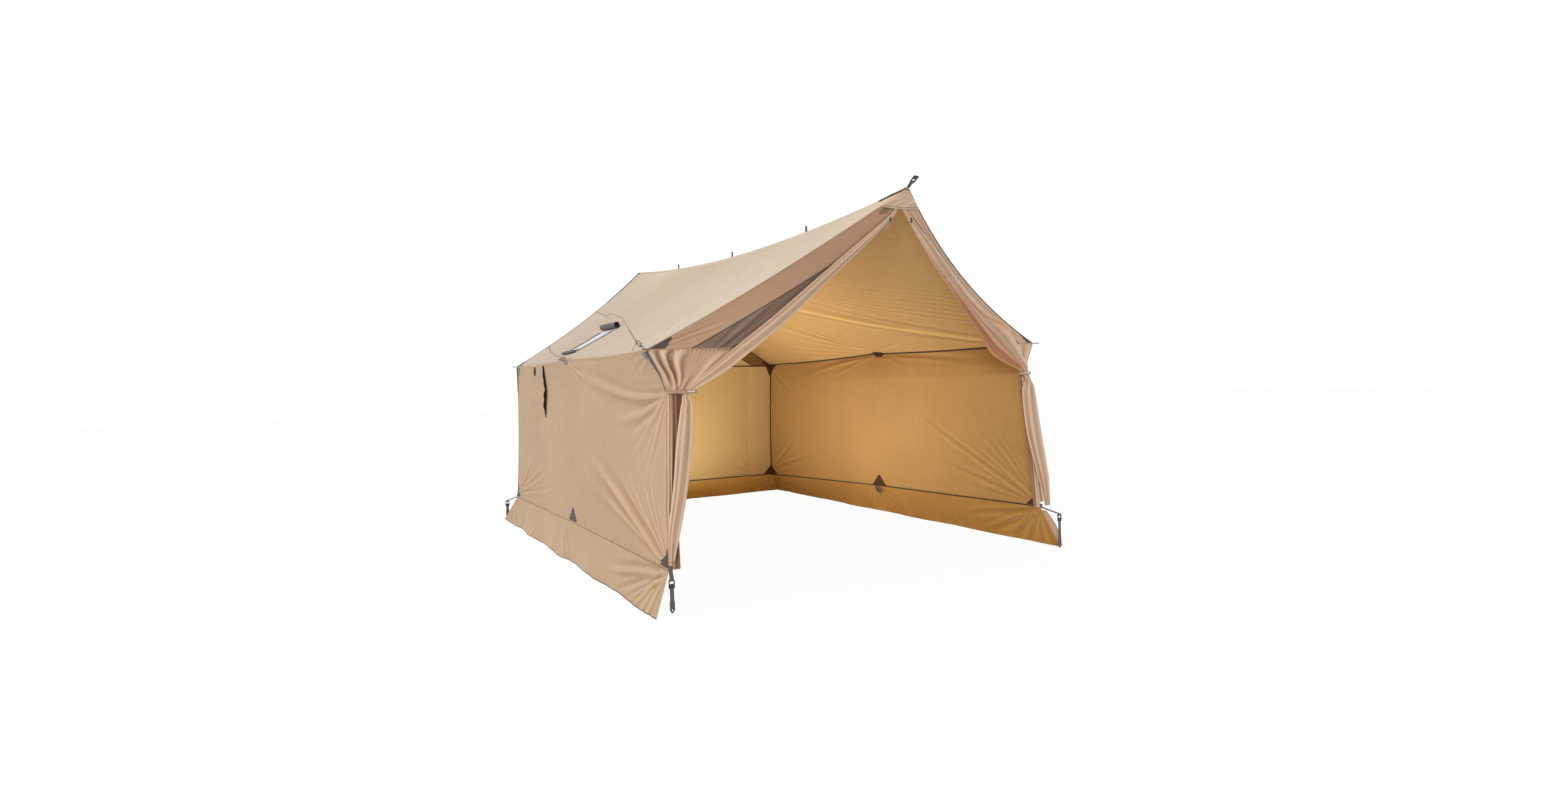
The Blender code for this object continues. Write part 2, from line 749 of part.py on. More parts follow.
BACK_LEAF_SHARES = (0.0, 0.33, 0.67, 1.0)
BAND_COLUMN_SHARES = (0.0, 0.5, 1.0)
back_left, back_right = gable_rows("back")
bands = {"left": [], "right": []}
leaves = {"left": [], "right": []}
zip_rows = []
for first, last in zip(back_left, back_right):
    half = np.linalg.norm(last - first) / 2
    edge = band_share(BAND_WIDTH_BACK, half)
    middle = MIDDLE_SHARE - min(ZIP_WIDTH / (4 * half), (MIDDLE_SHARE - NARROW_SHARE) / 2)
    for side, a, b in (("left", first, last), ("right", last, first)):
        bands[side].append([between(a, b, edge * s) for s in BAND_COLUMN_SHARES])
        leaves[side].append([between(a, b, edge + (middle - edge) * s) for s in BACK_LEAF_SHARES])
    zip_rows.append([between(first, last, middle), between(first, last, 1.0 - middle)])
for side in SIDES:
    panel("back_gable_band_" + side, np.array(bands[side]), MATERIALS["band_cloth"])
    panel("back_door_leaf_" + side, np.array(leaves[side]), MATERIALS["wall_cloth"])
panel("back_zip", np.array(zip_rows), MATERIALS["zip_tape"])

back_seam = [*bands["left"][-1], *leaves["left"][-1][1:], *leaves["right"][-1][::-1],
             *bands["right"][-1][::-1][1:]]
panel(
    "snow_skirt_back",
    skirt_grid(
        np.array(back_seam), skirt_edge("left", "back"), skirt_edge("right", "back"),
        (0.0, 1.0, 0.0), RIPPLES["back"],
    ),
    MATERIALS["skirt_cloth"],
    level_hem=True,
)


# Front leaves: where their cores run, seen square to the front

def leaf_core(side, path_shares, width_shares):
    """Points down a leaf's core with its half width and half depth at each."""
    wide = np.array(path_shares) * (EAVE_HALF_WIDTH, EAVE_HEIGHT)
    x = SIDES[side] * (EAVE_HALF_WIDTH - wide[:, 0])
    z = EAVE_HEIGHT + wide[:, 1]
    core = smooth_line(np.stack([x, z], axis=1), LEAF_RINGS)
    shares = smooth_line(np.array(width_shares)[:, None], LEAF_RINGS)[:, 0]
    half_width = LEAF_HALF_WIDTH * shares
    half_depth = LEAF_HALF_DEPTH * np.clip(shares, 0.0, 1.0)
    return core, half_width, half_depth


LEAF_CORES = {
    "left": leaf_core("left", LEFT_LEAF_PATH_SHARES, LEFT_LEAF_WIDTH_SHARES),
    "right": leaf_core("right", RIGHT_LEAF_PATH_SHARES, RIGHT_LEAF_WIDTH_SHARES),
}
TIE_RINGS = {
    side: round(point / (len(LEFT_LEAF_PATH_SHARES) - 1) * (LEAF_RINGS - 1))
    for side, point in LEAF_TIE_POINTS.items()
}


def core_x(side, height):
    """Where a leaf's core stands at a height."""
    core = LEAF_CORES[side][0]
    return float(np.interp(-height, -core[:, 1], core[:, 0]))


# Front bands, the mesh behind the left leaf, and the gathered strips down the corners

STRIP_COLUMN_SHARES = (0.0, 0.17, 0.34, 0.5, 0.66, 0.83, 1.0)
MESH_FIRST_ROW = 2
MESH_COLUMN_SHARES = (0.0, 0.33, 0.67, 1.0)
front_edges = dict(zip(SIDES, gable_rows("front")))
BAND_WIDTHS = {"left": BAND_WIDTH_LEFT, "right": BAND_WIDTH_RIGHT}
for side in SIDES:
    here, there = front_edges[side], front_edges["right" if side == "left" else "left"]
    rows, mesh_rows = [], []
    for i in range(SLOPE_ROWS):
        a, b = here[i], there[i]
        length = np.linalg.norm(b - a)
        edge = band_share(BAND_WIDTHS[side], length / 2)
        rows.append([between(a, b, edge * s) for s in BAND_COLUMN_SHARES])
        if i >= MESH_FIRST_ROW:
            inner = (core_x(side, a[2]) - a[0]) / (b[0] - a[0])
            inner = max(inner, edge + STRIP_WIDTH / 2 / length)
            mesh_rows.append(
                [between(a, b, edge + (inner - edge) * s) for s in MESH_COLUMN_SHARES]
            )
    panel("front_gable_band_" + side, np.array(rows), MATERIALS["band_cloth"])
    if side == "left":
        panel("front_mesh_left", np.array(mesh_rows), MATERIALS["mesh_cloth"])
        top = [*rows[-1], *mesh_rows[-1][1:]]
    else:
        top = [between(rows[-1][0], rows[-1][-1], s) for s in STRIP_COLUMN_SHARES]
    strip = [top]
    count = len(top)
    fold = STRIP_FOLD * (np.arange(count) % 2)
    for share, edge in zip(WALL_SHARES[1:], here[SLOPE_ROWS:]):
        gathered = min(share / TIE_SHARE, 1.0)
        reach = np.array([abs(p[0] - top[0][0]) for p in top])
        even = np.linspace(0.0, STRIP_WIDTH, count)
        reach = reach * (1 - gathered) + even * gathered
        line = [
            edge + vec(-SIDES[side] * r, -f * gathered, 0.0) for r, f in zip(reach, fold)
        ]
        strip.append(line)
    panel("front_wall_strip_" + side, np.array(strip), MATERIALS["leaf_cloth"])

make_panels()


# The surface that the front leaves hang against

def front_y(x, height):
    """How far forward the folded front reaches at a place across it and a height."""
    (left_x, left_y), (right_x, right_y) = (
        [np.interp(-height, -front_edges[side][:, 2], front_edges[side][:, i]) for i in (0, 1)]
        for side in SIDES
    )
    y = left_y + (right_y - left_y) * (x - left_x) / (right_x - left_x)
    side = "left" if x < 0.0 else "right"
    eave, tie = (front_edges[side][SLOPE_ROWS - 1 + row][2] for row in (0, TIE_ROW))
    folded = np.clip((eave - height) / (eave - tie), 0.0, 1.0)
    return y - STRIP_FOLD * folded - CLOTH * CLOTH_FACE_SHARE


def leaf(side):
    """A leaf drawn up into folds, pinched at its tie and left to drape below it."""
    core, half_width, half_depth = LEAF_CORES[side]
    ahead = np.gradient(core, axis=0)
    turns = np.arange(LEAF_SIDES) / LEAF_SIDES * 2 * math.pi
    rings = []
    for i, (place, way) in enumerate(zip(core, ahead)):
        way = way / np.linalg.norm(way)
        across = vec(way[1], 0.0, -way[0])
        rise = front_y(place[0], place[1] + CLOTH) - front_y(place[0], place[1] - CLOTH)
        out = unit(vec(0.0, -2 * CLOTH, rise))
        fold = 1.0 + LEAF_FOLD_SHARE * np.cos(LEAF_LOBES * turns + i * MIDDLE_SHARE)
        flat = across - out * (across @ out)
        section = (
            np.outer(half_width[i] * np.cos(turns) * fold, unit(flat))
            + np.outer(half_depth[i] * np.sin(turns) * fold, out)
        )
        points = section + vec(place[0], front_y(*place), place[1])
        at_tie = np.clip(TIE_REACH - abs(i - TIE_RINGS[side]), 0, 2) / 2
        stand_off = GAP + at_tie * (2 * WEBBING + CLOTH)
        over = max(p[1] - (front_y(p[0], p[2]) - stand_off) for p in points)
        rings.append(points + vec(0.0, -over, 0.0))
    swept("front_door_leaf_" + side, rings, MATERIALS["leaf_cloth"])
    return rings


LEAF_RING_POINTS = {side: leaf(side) for side in SIDES}


# Ties round the leaves, led to the wall's edge, and their toggles

def tie(side):
    ring_number = TIE_RINGS[side]
    points = LEAF_RING_POINTS[side][ring_number]
    height = points[:, 2].mean()
    around = LEAF_RING_POINTS[side][ring_number - 2 : ring_number + 3]
    steps = np.linspace(0.0, 1.0, TIE_SAMPLES)
    near = np.concatenate([between(a, b, s) for a, b in zip(around, around[1:]) for s in steps])
    near = near[np.abs(near[:, 2] - height) < TIE_BAND_WIDTH / 2 + 2 * CLOTH]
    low, high = near.min(axis=0), near.max(axis=0)
    clear = GAP + WEBBING / 2
    front, back = low[1] - clear, high[1] + clear
    inner = high[0] + clear if side == "left" else low[0] - clear
    outer = front_edges[side][SLOPE_ROWS + TIE_ROW - 1][0]
    return low, high, height, front, back, inner, outer


def tie_pieces(side):
    low, high, height, front, back, inner, outer = tie(side)
    sign = -SIDES[side]
    leaf_outer = (low[0] if side == "left" else high[0]) - sign * (GAP + WEBBING / 2)
    slim = 2 * WEBBING
    corner_step = min(abs(back - front), abs(inner - leaf_outer)) / 4
    path = [
        (inner, front + corner_step), (inner - sign * corner_step, front),
        (leaf_outer, front), (outer, back - slim), (outer, back),
        (leaf_outer, back), (inner - sign * corner_step, back), (inner, back - corner_step),
    ]
    path = np.array(path)
    ahead = np.roll(path, -1, axis=0) - np.roll(path, 1, axis=0)
    ahead /= np.linalg.norm(ahead, axis=1, keepdims=True)
    out = np.stack([ahead[:, 1], -ahead[:, 0]], axis=1) * (WEBBING / 2)
    rings = []
    for p, o in zip(path, out):
        rings.append([
            vec(p[0] + s * o[0], p[1] + s * o[1], height + h * TIE_BAND_WIDTH / 2)
            for s, h in ((-1, -1), (1, -1), (1, 1), (-1, 1))
        ])
    swept("tie_band_" + side, rings, MATERIALS["webbing"], closed=True)
    middle = vec((inner + leaf_outer) / 2, front - WEBBING / 2 - GAP - TOGGLE_DIAMETER / 2, height)
    axis = empty("tie_toggle_axis_" + side, middle, parent=TENT)
    half = vec(TOGGLE_LENGTH / 2, 0.0, 0.0)
    rounds = [ring(p, (1.0, 0.0, 0.0), TOGGLE_DIAMETER / 2, LOCK_SIDES) for p in (-half, half)]
    swept("tie_toggle_" + side, rounds, MATERIALS["pale_plastic"], parent=axis)
    return middle


TOGGLE_PLACES = {side: tie_pieces(side) for side in SIDES}


# Hoods over the peaks

def hood(end):
    """A cap laid over the bands under a peak, its lower edge dipping in the middle."""
    shares = HOOD_TOP_SHARE + (HOOD_SHARE - HOOD_TOP_SHARE) * np.array(HOOD_ROW_SHARES)
    left, right = (slope_edge(side, end, shares) for side in SIDES)
    forward = vec(0.0, ENDS[end], 0.0)
    rows = []
    for share, a, b in zip(HOOD_ROW_SHARES, left, right):
        row = []
        for s in HOOD_COLUMN_SHARES:
            p = between(a, b, s)
            bulge = 4 * s * (1 - s) * share
            row.append(p - vec(0.0, 0.0, HOOD_DIP_SHARE * (a[2] - p[2] + HOOD_SHARE / 4) * bulge))
        rows.append(row)
    grid = np.array(rows)
    edges = [slope_edge(side, end, SLOPE_SHARES) for side in SIDES]
    for s, column in zip(HOOD_COLUMN_SHARES, grid.transpose(1, 0, 2)):
        first, last = (np.interp(-column[:, 2], -e[:, 2], e[:, 1]) for e in edges)
        column[:, 1] = between(first, last, s)
    grid = grid + forward * (CLOTH * CLOTH_FACE_SHARE + GAP + CLOTH / 2)
    steps = np.zeros_like(grid) + forward * (CLOTH / 2)
    shell(end + "_hood", grid, steps, MATERIALS["band_cloth"])


for end in ENDS:
    hood(end)


# Zip sliders: two hang under the front hood, one runs up the back zip

def front_slider(side):
    """A slider's pull that hangs on the top of a leaf."""
    top = LEAF_RING_POINTS[side][0]
    front = min(p[:, 1].min() for p in LEAF_RING_POINTS[side][:2])
    place = vec(top[:, 0].mean(), front - GAP - SLIDER_DEPTH / 2, top[:, 2].mean())
    axis = empty("front_zip_slider_axis_" + side, place, parent=TENT)
    drop = vec(0.0, 0.0, -SLIDER_LENGTH / 2 + SLIDER_WIDTH / 2)
    block(
        "front_zip_slider_" + side, drop, np.eye(3), (SLIDER_WIDTH, SLIDER_DEPTH, SLIDER_LENGTH),
        MATERIALS["dark_plastic"], parent=axis,
    )
    return place


SLIDER_PLACES = {side: front_slider(side) for side in SIDES}

back_eave = (eave_corner("left", "back") + eave_corner("right", "back")) / 2
back_foot = (seam_corner("left", "back") + seam_corner("right", "back")) / 2
zip_up = unit(back_eave - back_foot)
zip_out = unit(np.cross(zip_up, (-1.0, 0.0, 0.0)))
slider_rise = CLOTH / 2 + GAP + SLIDER_DEPTH / 2
zip_park = back_foot + zip_up * SLIDER_LENGTH + zip_out * slider_rise
BACK_SLIDER_RUN = np.linalg.norm(back_eave - back_foot) - 2 * SLIDER_LENGTH
block(
    "back_zip_slider", zip_park, (vec(1.0, 0.0, 0.0), zip_out, zip_up),
    (SLIDER_WIDTH, SLIDER_DEPTH, SLIDER_LENGTH), MATERIALS["dark_plastic"],
)


# Webbing and buckle at the front peak

def end_loop(bar, ahead, out, tail):
    """Points of webbing that comes up on the out side of a bar, turns round it and ends behind."""
    reach = BAR * MIDDLE_SHARE * math.sqrt(2.0) + GAP + WEBBING / 2
    turns = np.linspace(0.0, math.pi, END_LOOP_STEPS)
    points = [bar + reach * (math.cos(t) * out + math.sin(t) * ahead) for t in turns]
    return [points[0] - BAR * 2 * ahead, *points, bar - reach * out - tail * ahead]


RIDGE = ridge_line(LENGTH_SHARES)


def on_ridge(y):
    """The top of the ridge's cloth at a distance along it."""
    x, z = (np.interp(y, RIDGE[:, 1], RIDGE[:, i]) for i in (0, 2))
    fall = math.atan2(z - EAVE_HEIGHT, EAVE_HALF_WIDTH)
    return vec(x, y, z + CLOTH / 2 / math.cos(fall))


rise = PEAK_STRAP_RISE
strap_ahead = vec(0.0, -math.cos(rise), math.sin(rise))
strap_out = vec(0.0, math.sin(rise), math.cos(rise))
lift = vec(0.0, 0.0, GAP + WEBBING / 2)
front_peak = on_ridge(RIDGE[0, 1])
buckle_bar = front_peak + lift + strap_ahead * (PEAK_STRAP_REACH - LOCK_HEIGHT + BAR)
peak_path = [
    on_ridge(RIDGE[0, 1] + PEAK_STRAP_RUN) + lift,
    on_ridge(RIDGE[0, 1] + PEAK_STRAP_RUN / 2) + lift,
    front_peak + lift,
    *end_loop(buckle_bar, strap_ahead, strap_out, ANCHOR_TAIL),
]
strap("front_peak_webbing", peak_path, (1.0, 0.0, 0.0), MATERIALS["webbing"])
overlay(
    "back_peak_webbing", (0, EDGE_WEBBING_ROWS),
    (len(LENGTH_SHARES) - 2, len(LENGTH_SHARES) - 1), "roof_panel_left", MATERIALS["webbing"],
    thickness=WEBBING,
)


# Ladder locks

def lock_outline():
    side = LOCK_WIDTH / 2
    top, foot = BAR / 2, BAR / 2 - LOCK_HEIGHT
    return [(-side, foot), (side, foot), (side, top), (-side, top)]


def lock(name, axis):
    """A buckle that turns on its top bar, with a window under the bar and a slot for the strap."""
    made = plate(name, lock_outline(), LOCK_DEPTH, MATERIALS["dark_plastic"], (0, 0, 0), axis)
    inner = WEBBING_WIDTH + 2 * STRAP_PLAY
    window_middle = -BAR / 2 - LOCK_WINDOW / 2
    window = box_cutter(
        name + "_window", (inner, 2 * LOCK_DEPTH, LOCK_WINDOW), (0.0, 0.0, window_middle), axis
    )
    relief = (LOCK_DEPTH - BAR) / 2
    tall = BAR * 2
    reliefs = [
        box_cutter(
            name + "_relief_" + word, (inner, 2 * relief, tall),
            (0.0, s * LOCK_DEPTH / 2, BAR / 2 - tall / 2 + BAR / 2), axis,
        )
        for word, s in (("front", -1.0), ("back", 1.0))
    ]
    slot_height = LOCK_HEIGHT
    slot = box_cutter(
        name + "_slot", (inner, WEBBING + 2 * STRAP_PLAY, slot_height),
        (0.0, 0.0, -BAR / 2 - LOCK_WINDOW / 2 - slot_height / 2), axis,
    )
    cut(made, window, *reliefs, slot)
    return made


peak_axis = empty("front_peak_buckle_axis", buckle_bar, (-(math.pi / 2 + rise), 0.0, 0.0), TENT)
lock("front_peak_buckle", peak_axis)


# Ground corners: anchor webbing, ladder lock and stake strap

def stake_outline(top, tip):
    half, tab, nose = WEBBING_WIDTH / 2, TAB_WIDTH / 2, TAB_WIDTH / 6
    shoulder = tip + TAB_LENGTH
    right = [(nose, tip), (tab, tip + TAB_POINT), (tab, shoulder - WEBBING_WIDTH / 2),
             (half, shoulder), (half, top)]
    return right + [(-x, z) for x, z in right[::-1]]


STRAP_TAKE_UP = LOCK_WINDOW - BAR - WEBBING
LOCK_BARS = {}


def ground_corner(side, end):
    name = f"{end}_{side}"
    foot = seam_corner(side, end)
    out = vec(0.0, ENDS[end], 0.0)
    spread = ANCHOR_SPREAD * ANCHOR_SPREAD_SHARES[side, end]
    skirt = SKIRT_END_SPREAD + SKIRT_RIPPLE + STRAP_SWING_ROOM if end == "back" else 0.0
    folds = STRIP_FOLD if end == "front" else 0.0
    inward = vec(-SIDES[side] * ANCHOR_INSET, 0.0, 0.0)
    surface = foot + inward + out * (folds + CLOTH / 2 + GAP + WEBBING / 2)
    start = surface + unit(eave_corner(side, end) - foot) * WEBBING_WIDTH
    step_out = GAP + WEBBING + BAR + LOCK_DEPTH / 2
    aside = vec(SIDES[side] * spread, 0.0, -ANCHOR_DROP)
    bar = surface + out * (step_out + max(spread, skirt)) + aside
    down = vec(0.0, 0.0, -1.0)
    path = [start, surface, *end_loop(bar, down, out, ANCHOR_TAIL)]
    strap(f"anchor_webbing_{name}", path, (1.0, 0.0, 0.0), MATERIALS["webbing"])
    axis = empty(f"ladder_lock_axis_{name}", bar, parent=TENT)
    lock(f"ladder_lock_{name}", axis)
    top = -BAR / 2 - LOCK_WINDOW
    tip = GROUND_CLEARANCE - bar[2]
    made = plate(
        f"stake_strap_{name}", stake_outline(top, tip), WEBBING, MATERIALS["webbing"],
        (0, 0, 0), axis,
    )
    hole = round_cutter(
        f"grommet_{name}", GROMMET / 2, 2 * WEBBING, (0.0, 0.0, tip + TAB_POINT), axis
    )
    cut(made, hole)
    LOCK_BARS[side, end] = bar


for end in ENDS:
    for side in SIDES:
        ground_corner(side, end)


# Ridge loops, guy loops and mid stake loops

for number, share in enumerate(RIDGE_LOOP_SHARES, 1):
    y = share * RIDGE_BACK + WALLS_SET_BACK
    ends = [on_ridge(y - WEBBING_WIDTH / 2), on_ridge(y + WEBBING_WIDTH / 2)]
    along = unit((ends[1] - ends[0]) * (0.0, 1.0, 1.0))
    up = unit(np.cross((1.0, 0.0, 0.0), along))
    centre = (ends[0] + ends[1]) / 2 + up * (GAP + RIDGE_LOOP_HEIGHT / 2)
    block(
        f"ridge_loop_{number}", centre, (vec(1.0, 0.0, 0.0), along, up),
        (2 * WEBBING, WEBBING_WIDTH, RIDGE_LOOP_HEIGHT), MATERIALS["webbing"],
    )

GUY_LOOP_ENDS = {}
for side in SIDES:
    for end in ENDS:
        out = unit(vec(SIDES[side], ENDS[end], 0.0))
        start = eave_corner(side, end) + out * (CLOTH * CORNER_FACE_SHARE + GAP)
        across = vec(-out[1], out[0], 0.0)
        loop_of_cord(
            f"guy_loop_{end}_{side}", start, out, across, GUY_LOOP_REACH, GUY_LOOP_WIDTH,
            MATERIALS["webbing"], GUY_LOOP_CORD / 2,
        )
        GUY_LOOP_ENDS[side, end] = start + out * (GUY_LOOP_REACH - GUY_LOOP_CORD / 2)
    out = vec(SIDES[side], 0.0, 0.0)
    start = eave_line(side, [MIDDLE_SHARE])[0] + out * (CLOTH * CLOTH_FACE_SHARE + GAP)
    loop_of_cord(
        f"guy_loop_middle_{side}", start, out, (0.0, 1.0, 0.0), GUY_LOOP_REACH, GUY_LOOP_WIDTH,
        MATERIALS["webbing"], GUY_LOOP_CORD / 2,
    )
    GUY_LOOP_ENDS[side, "middle"] = start + out * (GUY_LOOP_REACH - GUY_LOOP_CORD / 2)
    skirt = PANELS["snow_skirt_" + side][0][:2, nearest(LENGTH_SHARES, MIDDLE_SHARE)]
    skirt_way = unit(skirt[1] - skirt[0])
    away = unit(np.cross(skirt_way, (0.0, -SIDES[side], 0.0)))
    clear = CLOTH / 2 + 2 * GAP + STAKE_LOOP_CORD / 2 * (1.0 - math.sin(STAKE_LOOP_LEAN))
    start = skirt[0] + skirt_way * CLOTH + away * clear
    hang = skirt_way * math.cos(STAKE_LOOP_LEAN) + away * math.sin(STAKE_LOOP_LEAN)
    loop_of_cord(
        f"stake_loop_middle_{side}", start, hang, (0.0, 1.0, 0.0), STAKE_LOOP_REACH,
        STAKE_LOOP_WIDTH, MATERIALS["webbing"], STAKE_LOOP_CORD / 2,
    )


# Stove jack with its rolled flap, and the wall flap

jack_columns = tuple(nearest(LENGTH_SHARES, s) for s in JACK_SHARES)
overlay("stove_jack_panel", JACK_ROWS, jack_columns, "roof_panel_left", MATERIALS["stove_panel"])
roof_grid, roof_normals = PANELS["roof_panel_left"][:2]
row = JACK_ROWS[0]
roll_rings = []
for j in range(jack_columns[0], jack_columns[1] + 1):
    place, out = roof_grid[row, j], roof_normals[row, j]
    up_slope = unit(roof_grid[row - 1, j] - place)
    centre = place + out * (CLOTH / 2 + GAP + JACK_ROLL_RADIUS)
    centre = centre + up_slope * (JACK_ROLL_RADIUS + GAP)
    along = roof_grid[row, j] - roof_grid[row, j - 1]
    roll_rings.append(ring(centre, along, JACK_ROLL_RADIUS, LOCK_SIDES))
swept("stove_jack_flap", roll_rings, MATERIALS["stove_panel"])

flap_columns = tuple(nearest(LENGTH_SHARES, s) for s in FLAP_SHARES)
flap_foot = nearest(WALL_SHARES, FLAP_SHARE)
wall_grid, wall_normals = PANELS["wall_panel_left"][:2]
rows = flap_foot + 1
bulge = FLAP_BULGE * np.sin(np.linspace(0.0, math.pi, rows))[:, None, None]
flap_top = wall_grid[0, flap_columns[0] : flap_columns[1] + 1]
flap_hinge = flap_top.mean(axis=0) + vec(-(CLOTH + GAP + LAP), 0.0, 0.0)
flap_along = unit(flap_top[-1] - flap_top[0])
overlay(
    "wall_vent_flap", (0, flap_foot), flap_columns, "wall_panel_left", MATERIALS["wall_cloth"],
    bulge=bulge,
)


# Guylines

def on_roof(share_along, share_down, rise):
    """A point above the left roof's outer face at shares of its length and of its slope."""
    j = np.interp(share_along, LENGTH_SHARES, range(len(LENGTH_SHARES)))
    i = np.interp(share_down, SLOPE_SHARES, range(len(SLOPE_SHARES)))
    a, b = min(int(i), len(SLOPE_SHARES) - 2), min(int(j), len(LENGTH_SHARES) - 2)
    f, g = i - a, j - b
    face = roof_grid + roof_normals * (CLOTH / 2)
    first, along, across, down = face[a, b], face[a, b + 1], face[a + 1, b + 1], face[a + 1, b]
    if g >= f:
        place = first + g * (along - first) + f * (across - along)
    else:
        place = first + f * (down - first) + g * (across - down)
    return place + unit(roof_normals[a : a + 2, b : b + 2].reshape(-1, 3).mean(axis=0)) * rise


def roof_route(shares, loop, bumped):
    """A guyline's route from its loop at the eave, up over the roof to the back edge."""
    shares = np.array(shares)
    along = np.linspace(shares[0, 0], shares[-1, 0], ROUTE_POINTS)
    down = np.interp(along, shares[:, 0], shares[:, 1])
    middle, half = sum(JACK_SHARES) / 2, JACK_SHARES[1] - JACK_SHARES[0]
    route = [loop + vec(0.0, 0.0, GUY_LOOP_CORD / 2 + GAP + CORD_DIAMETER / 2)]
    for a, d in zip(along, down):
        lifted = CORD_DIAMETER / 2 + CORD_LIFT
        if bumped:
            near = min(1.0, max(0.0, 2.0 - abs(a - middle) / half))
            lifted += 2.0 * (JACK_ROLL_RADIUS + GAP) * near
            lifted += TENSIONER_HEIGHT / 2 * np.clip((2 * TENSIONER_SHARE - a) / TENSIONER_SHARE, 0, 1)
        route.append(on_roof(a, d, lifted))
    return route


ROOF_ROUTE = roof_route(ROOF_LINE_SHARES, GUY_LOOP_ENDS["left", "front"], True)
SIDE_ROUTE = roof_route(SIDE_LINE_SHARES, GUY_LOOP_ENDS["left", "middle"], False)
tube("guyline_roof", ROOF_ROUTE, CORD_DIAMETER, MATERIALS["cord"], ROUTE_POINTS)
tube("guyline_side", SIDE_ROUTE, CORD_DIAMETER, MATERIALS["cord"], ROUTE_POINTS)

# The tensioner rides on the long line behind the front corner
line = smooth_line(ROOF_ROUTE, ROUTE_POINTS)
run = np.r_[0.0, np.cumsum(np.linalg.norm(np.diff(line, axis=0), axis=1))]
tensioner_at = np.array([np.interp(TENSIONER_PLACE, run, line[:, i]) for i in range(3)])
ahead = [np.interp(TENSIONER_PLACE + TENSIONER_LENGTH / 2, run, line[:, i]) for i in range(3)]
tensioner_ahead = unit(np.array(ahead) - tensioner_at)
tensioner_across = unit(np.cross(tensioner_ahead, roof_normals[-2, 1]))
tensioner_out = np.cross(tensioner_across, tensioner_ahead)
tensioner = block(
    "guyline_tensioner", tensioner_at, (tensioner_ahead, tensioner_across, tensioner_out),
    (TENSIONER_LENGTH, TENSIONER_WIDTH, TENSIONER_HEIGHT), MATERIALS["dark_plastic"],
)
ends = [tensioner_at + s * TENSIONER_LENGTH * tensioner_ahead for s in (-1, 1)]
bore = swept(
    "tensioner_bore",
    [ring(p, tensioner_ahead, CORD_DIAMETER / 2 + BORE_PLAY, LOCK_SIDES) for p in ends],
    MATERIALS["dark_plastic"],
)
cut(tensioner, as_cutter(bore))
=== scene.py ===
"""Looks of the hot tent: its cloth with folds and seams, webbing, cords, plastic and light."""

import json
import math

import bmesh
import bpy
import numpy as np
from mathutils import Matrix, Vector

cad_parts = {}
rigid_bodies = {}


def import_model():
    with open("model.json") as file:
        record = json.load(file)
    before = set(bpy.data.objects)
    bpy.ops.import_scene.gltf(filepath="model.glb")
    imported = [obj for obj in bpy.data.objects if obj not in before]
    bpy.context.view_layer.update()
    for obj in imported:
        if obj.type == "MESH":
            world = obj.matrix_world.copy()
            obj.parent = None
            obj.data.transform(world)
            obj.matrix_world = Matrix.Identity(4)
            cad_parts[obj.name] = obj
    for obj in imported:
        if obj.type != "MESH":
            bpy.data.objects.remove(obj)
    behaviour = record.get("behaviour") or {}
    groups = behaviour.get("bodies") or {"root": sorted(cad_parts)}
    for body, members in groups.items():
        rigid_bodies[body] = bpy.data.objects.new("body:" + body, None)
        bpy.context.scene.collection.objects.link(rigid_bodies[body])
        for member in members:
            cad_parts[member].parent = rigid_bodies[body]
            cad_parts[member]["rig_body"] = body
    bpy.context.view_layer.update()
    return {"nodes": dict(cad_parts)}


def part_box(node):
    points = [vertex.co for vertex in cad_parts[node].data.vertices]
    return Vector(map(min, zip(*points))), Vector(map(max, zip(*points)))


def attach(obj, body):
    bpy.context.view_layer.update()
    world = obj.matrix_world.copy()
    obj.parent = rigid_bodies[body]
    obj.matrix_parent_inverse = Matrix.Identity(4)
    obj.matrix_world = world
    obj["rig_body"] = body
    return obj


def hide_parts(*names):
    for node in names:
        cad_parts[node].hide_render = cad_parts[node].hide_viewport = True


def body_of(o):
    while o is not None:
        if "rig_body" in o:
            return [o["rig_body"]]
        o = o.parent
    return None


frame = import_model()
NODES = frame["nodes"]


def vec(*xyz):
    return np.array(xyz, float)


def unit(v):
    return v / np.linalg.norm(v)


def evenly(count):
    return np.linspace(0.0, 1.0, count)


def eased(x):
    """A smooth step over 0 to 1."""
    return x * x * (3 - 2 * x)


def bell(x, middle, width):
    return np.exp(-(((x - middle) / width) ** 2))


def smooth_line(points, count):
    """Evenly numbered points on a Catmull-Rom curve through the given ones."""
    points = np.asarray(points, float)
    padded = np.vstack([2 * points[0] - points[1], points, 2 * points[-1] - points[-2]])
    made = []
    for t in np.linspace(0.0, len(points) - 1.0, count):
        i = min(int(t), len(points) - 2)
        f = t - i
        a, b, c, d = padded[i : i + 4]
        made.append(
            0.5 * (2 * b + (c - a) * f + (2 * a - 5 * b + 4 * c - d) * f**2
                   + (3 * b - a - 3 * c + d) * f**3)
        )
    return np.array(made)


# Camera

IMAGE_WIDTH = 2576
FOCAL_PIXELS = 1343.8
SENSOR = 36.0
CAMERA_PLACE = (-2.832, -5.626, 1.166)


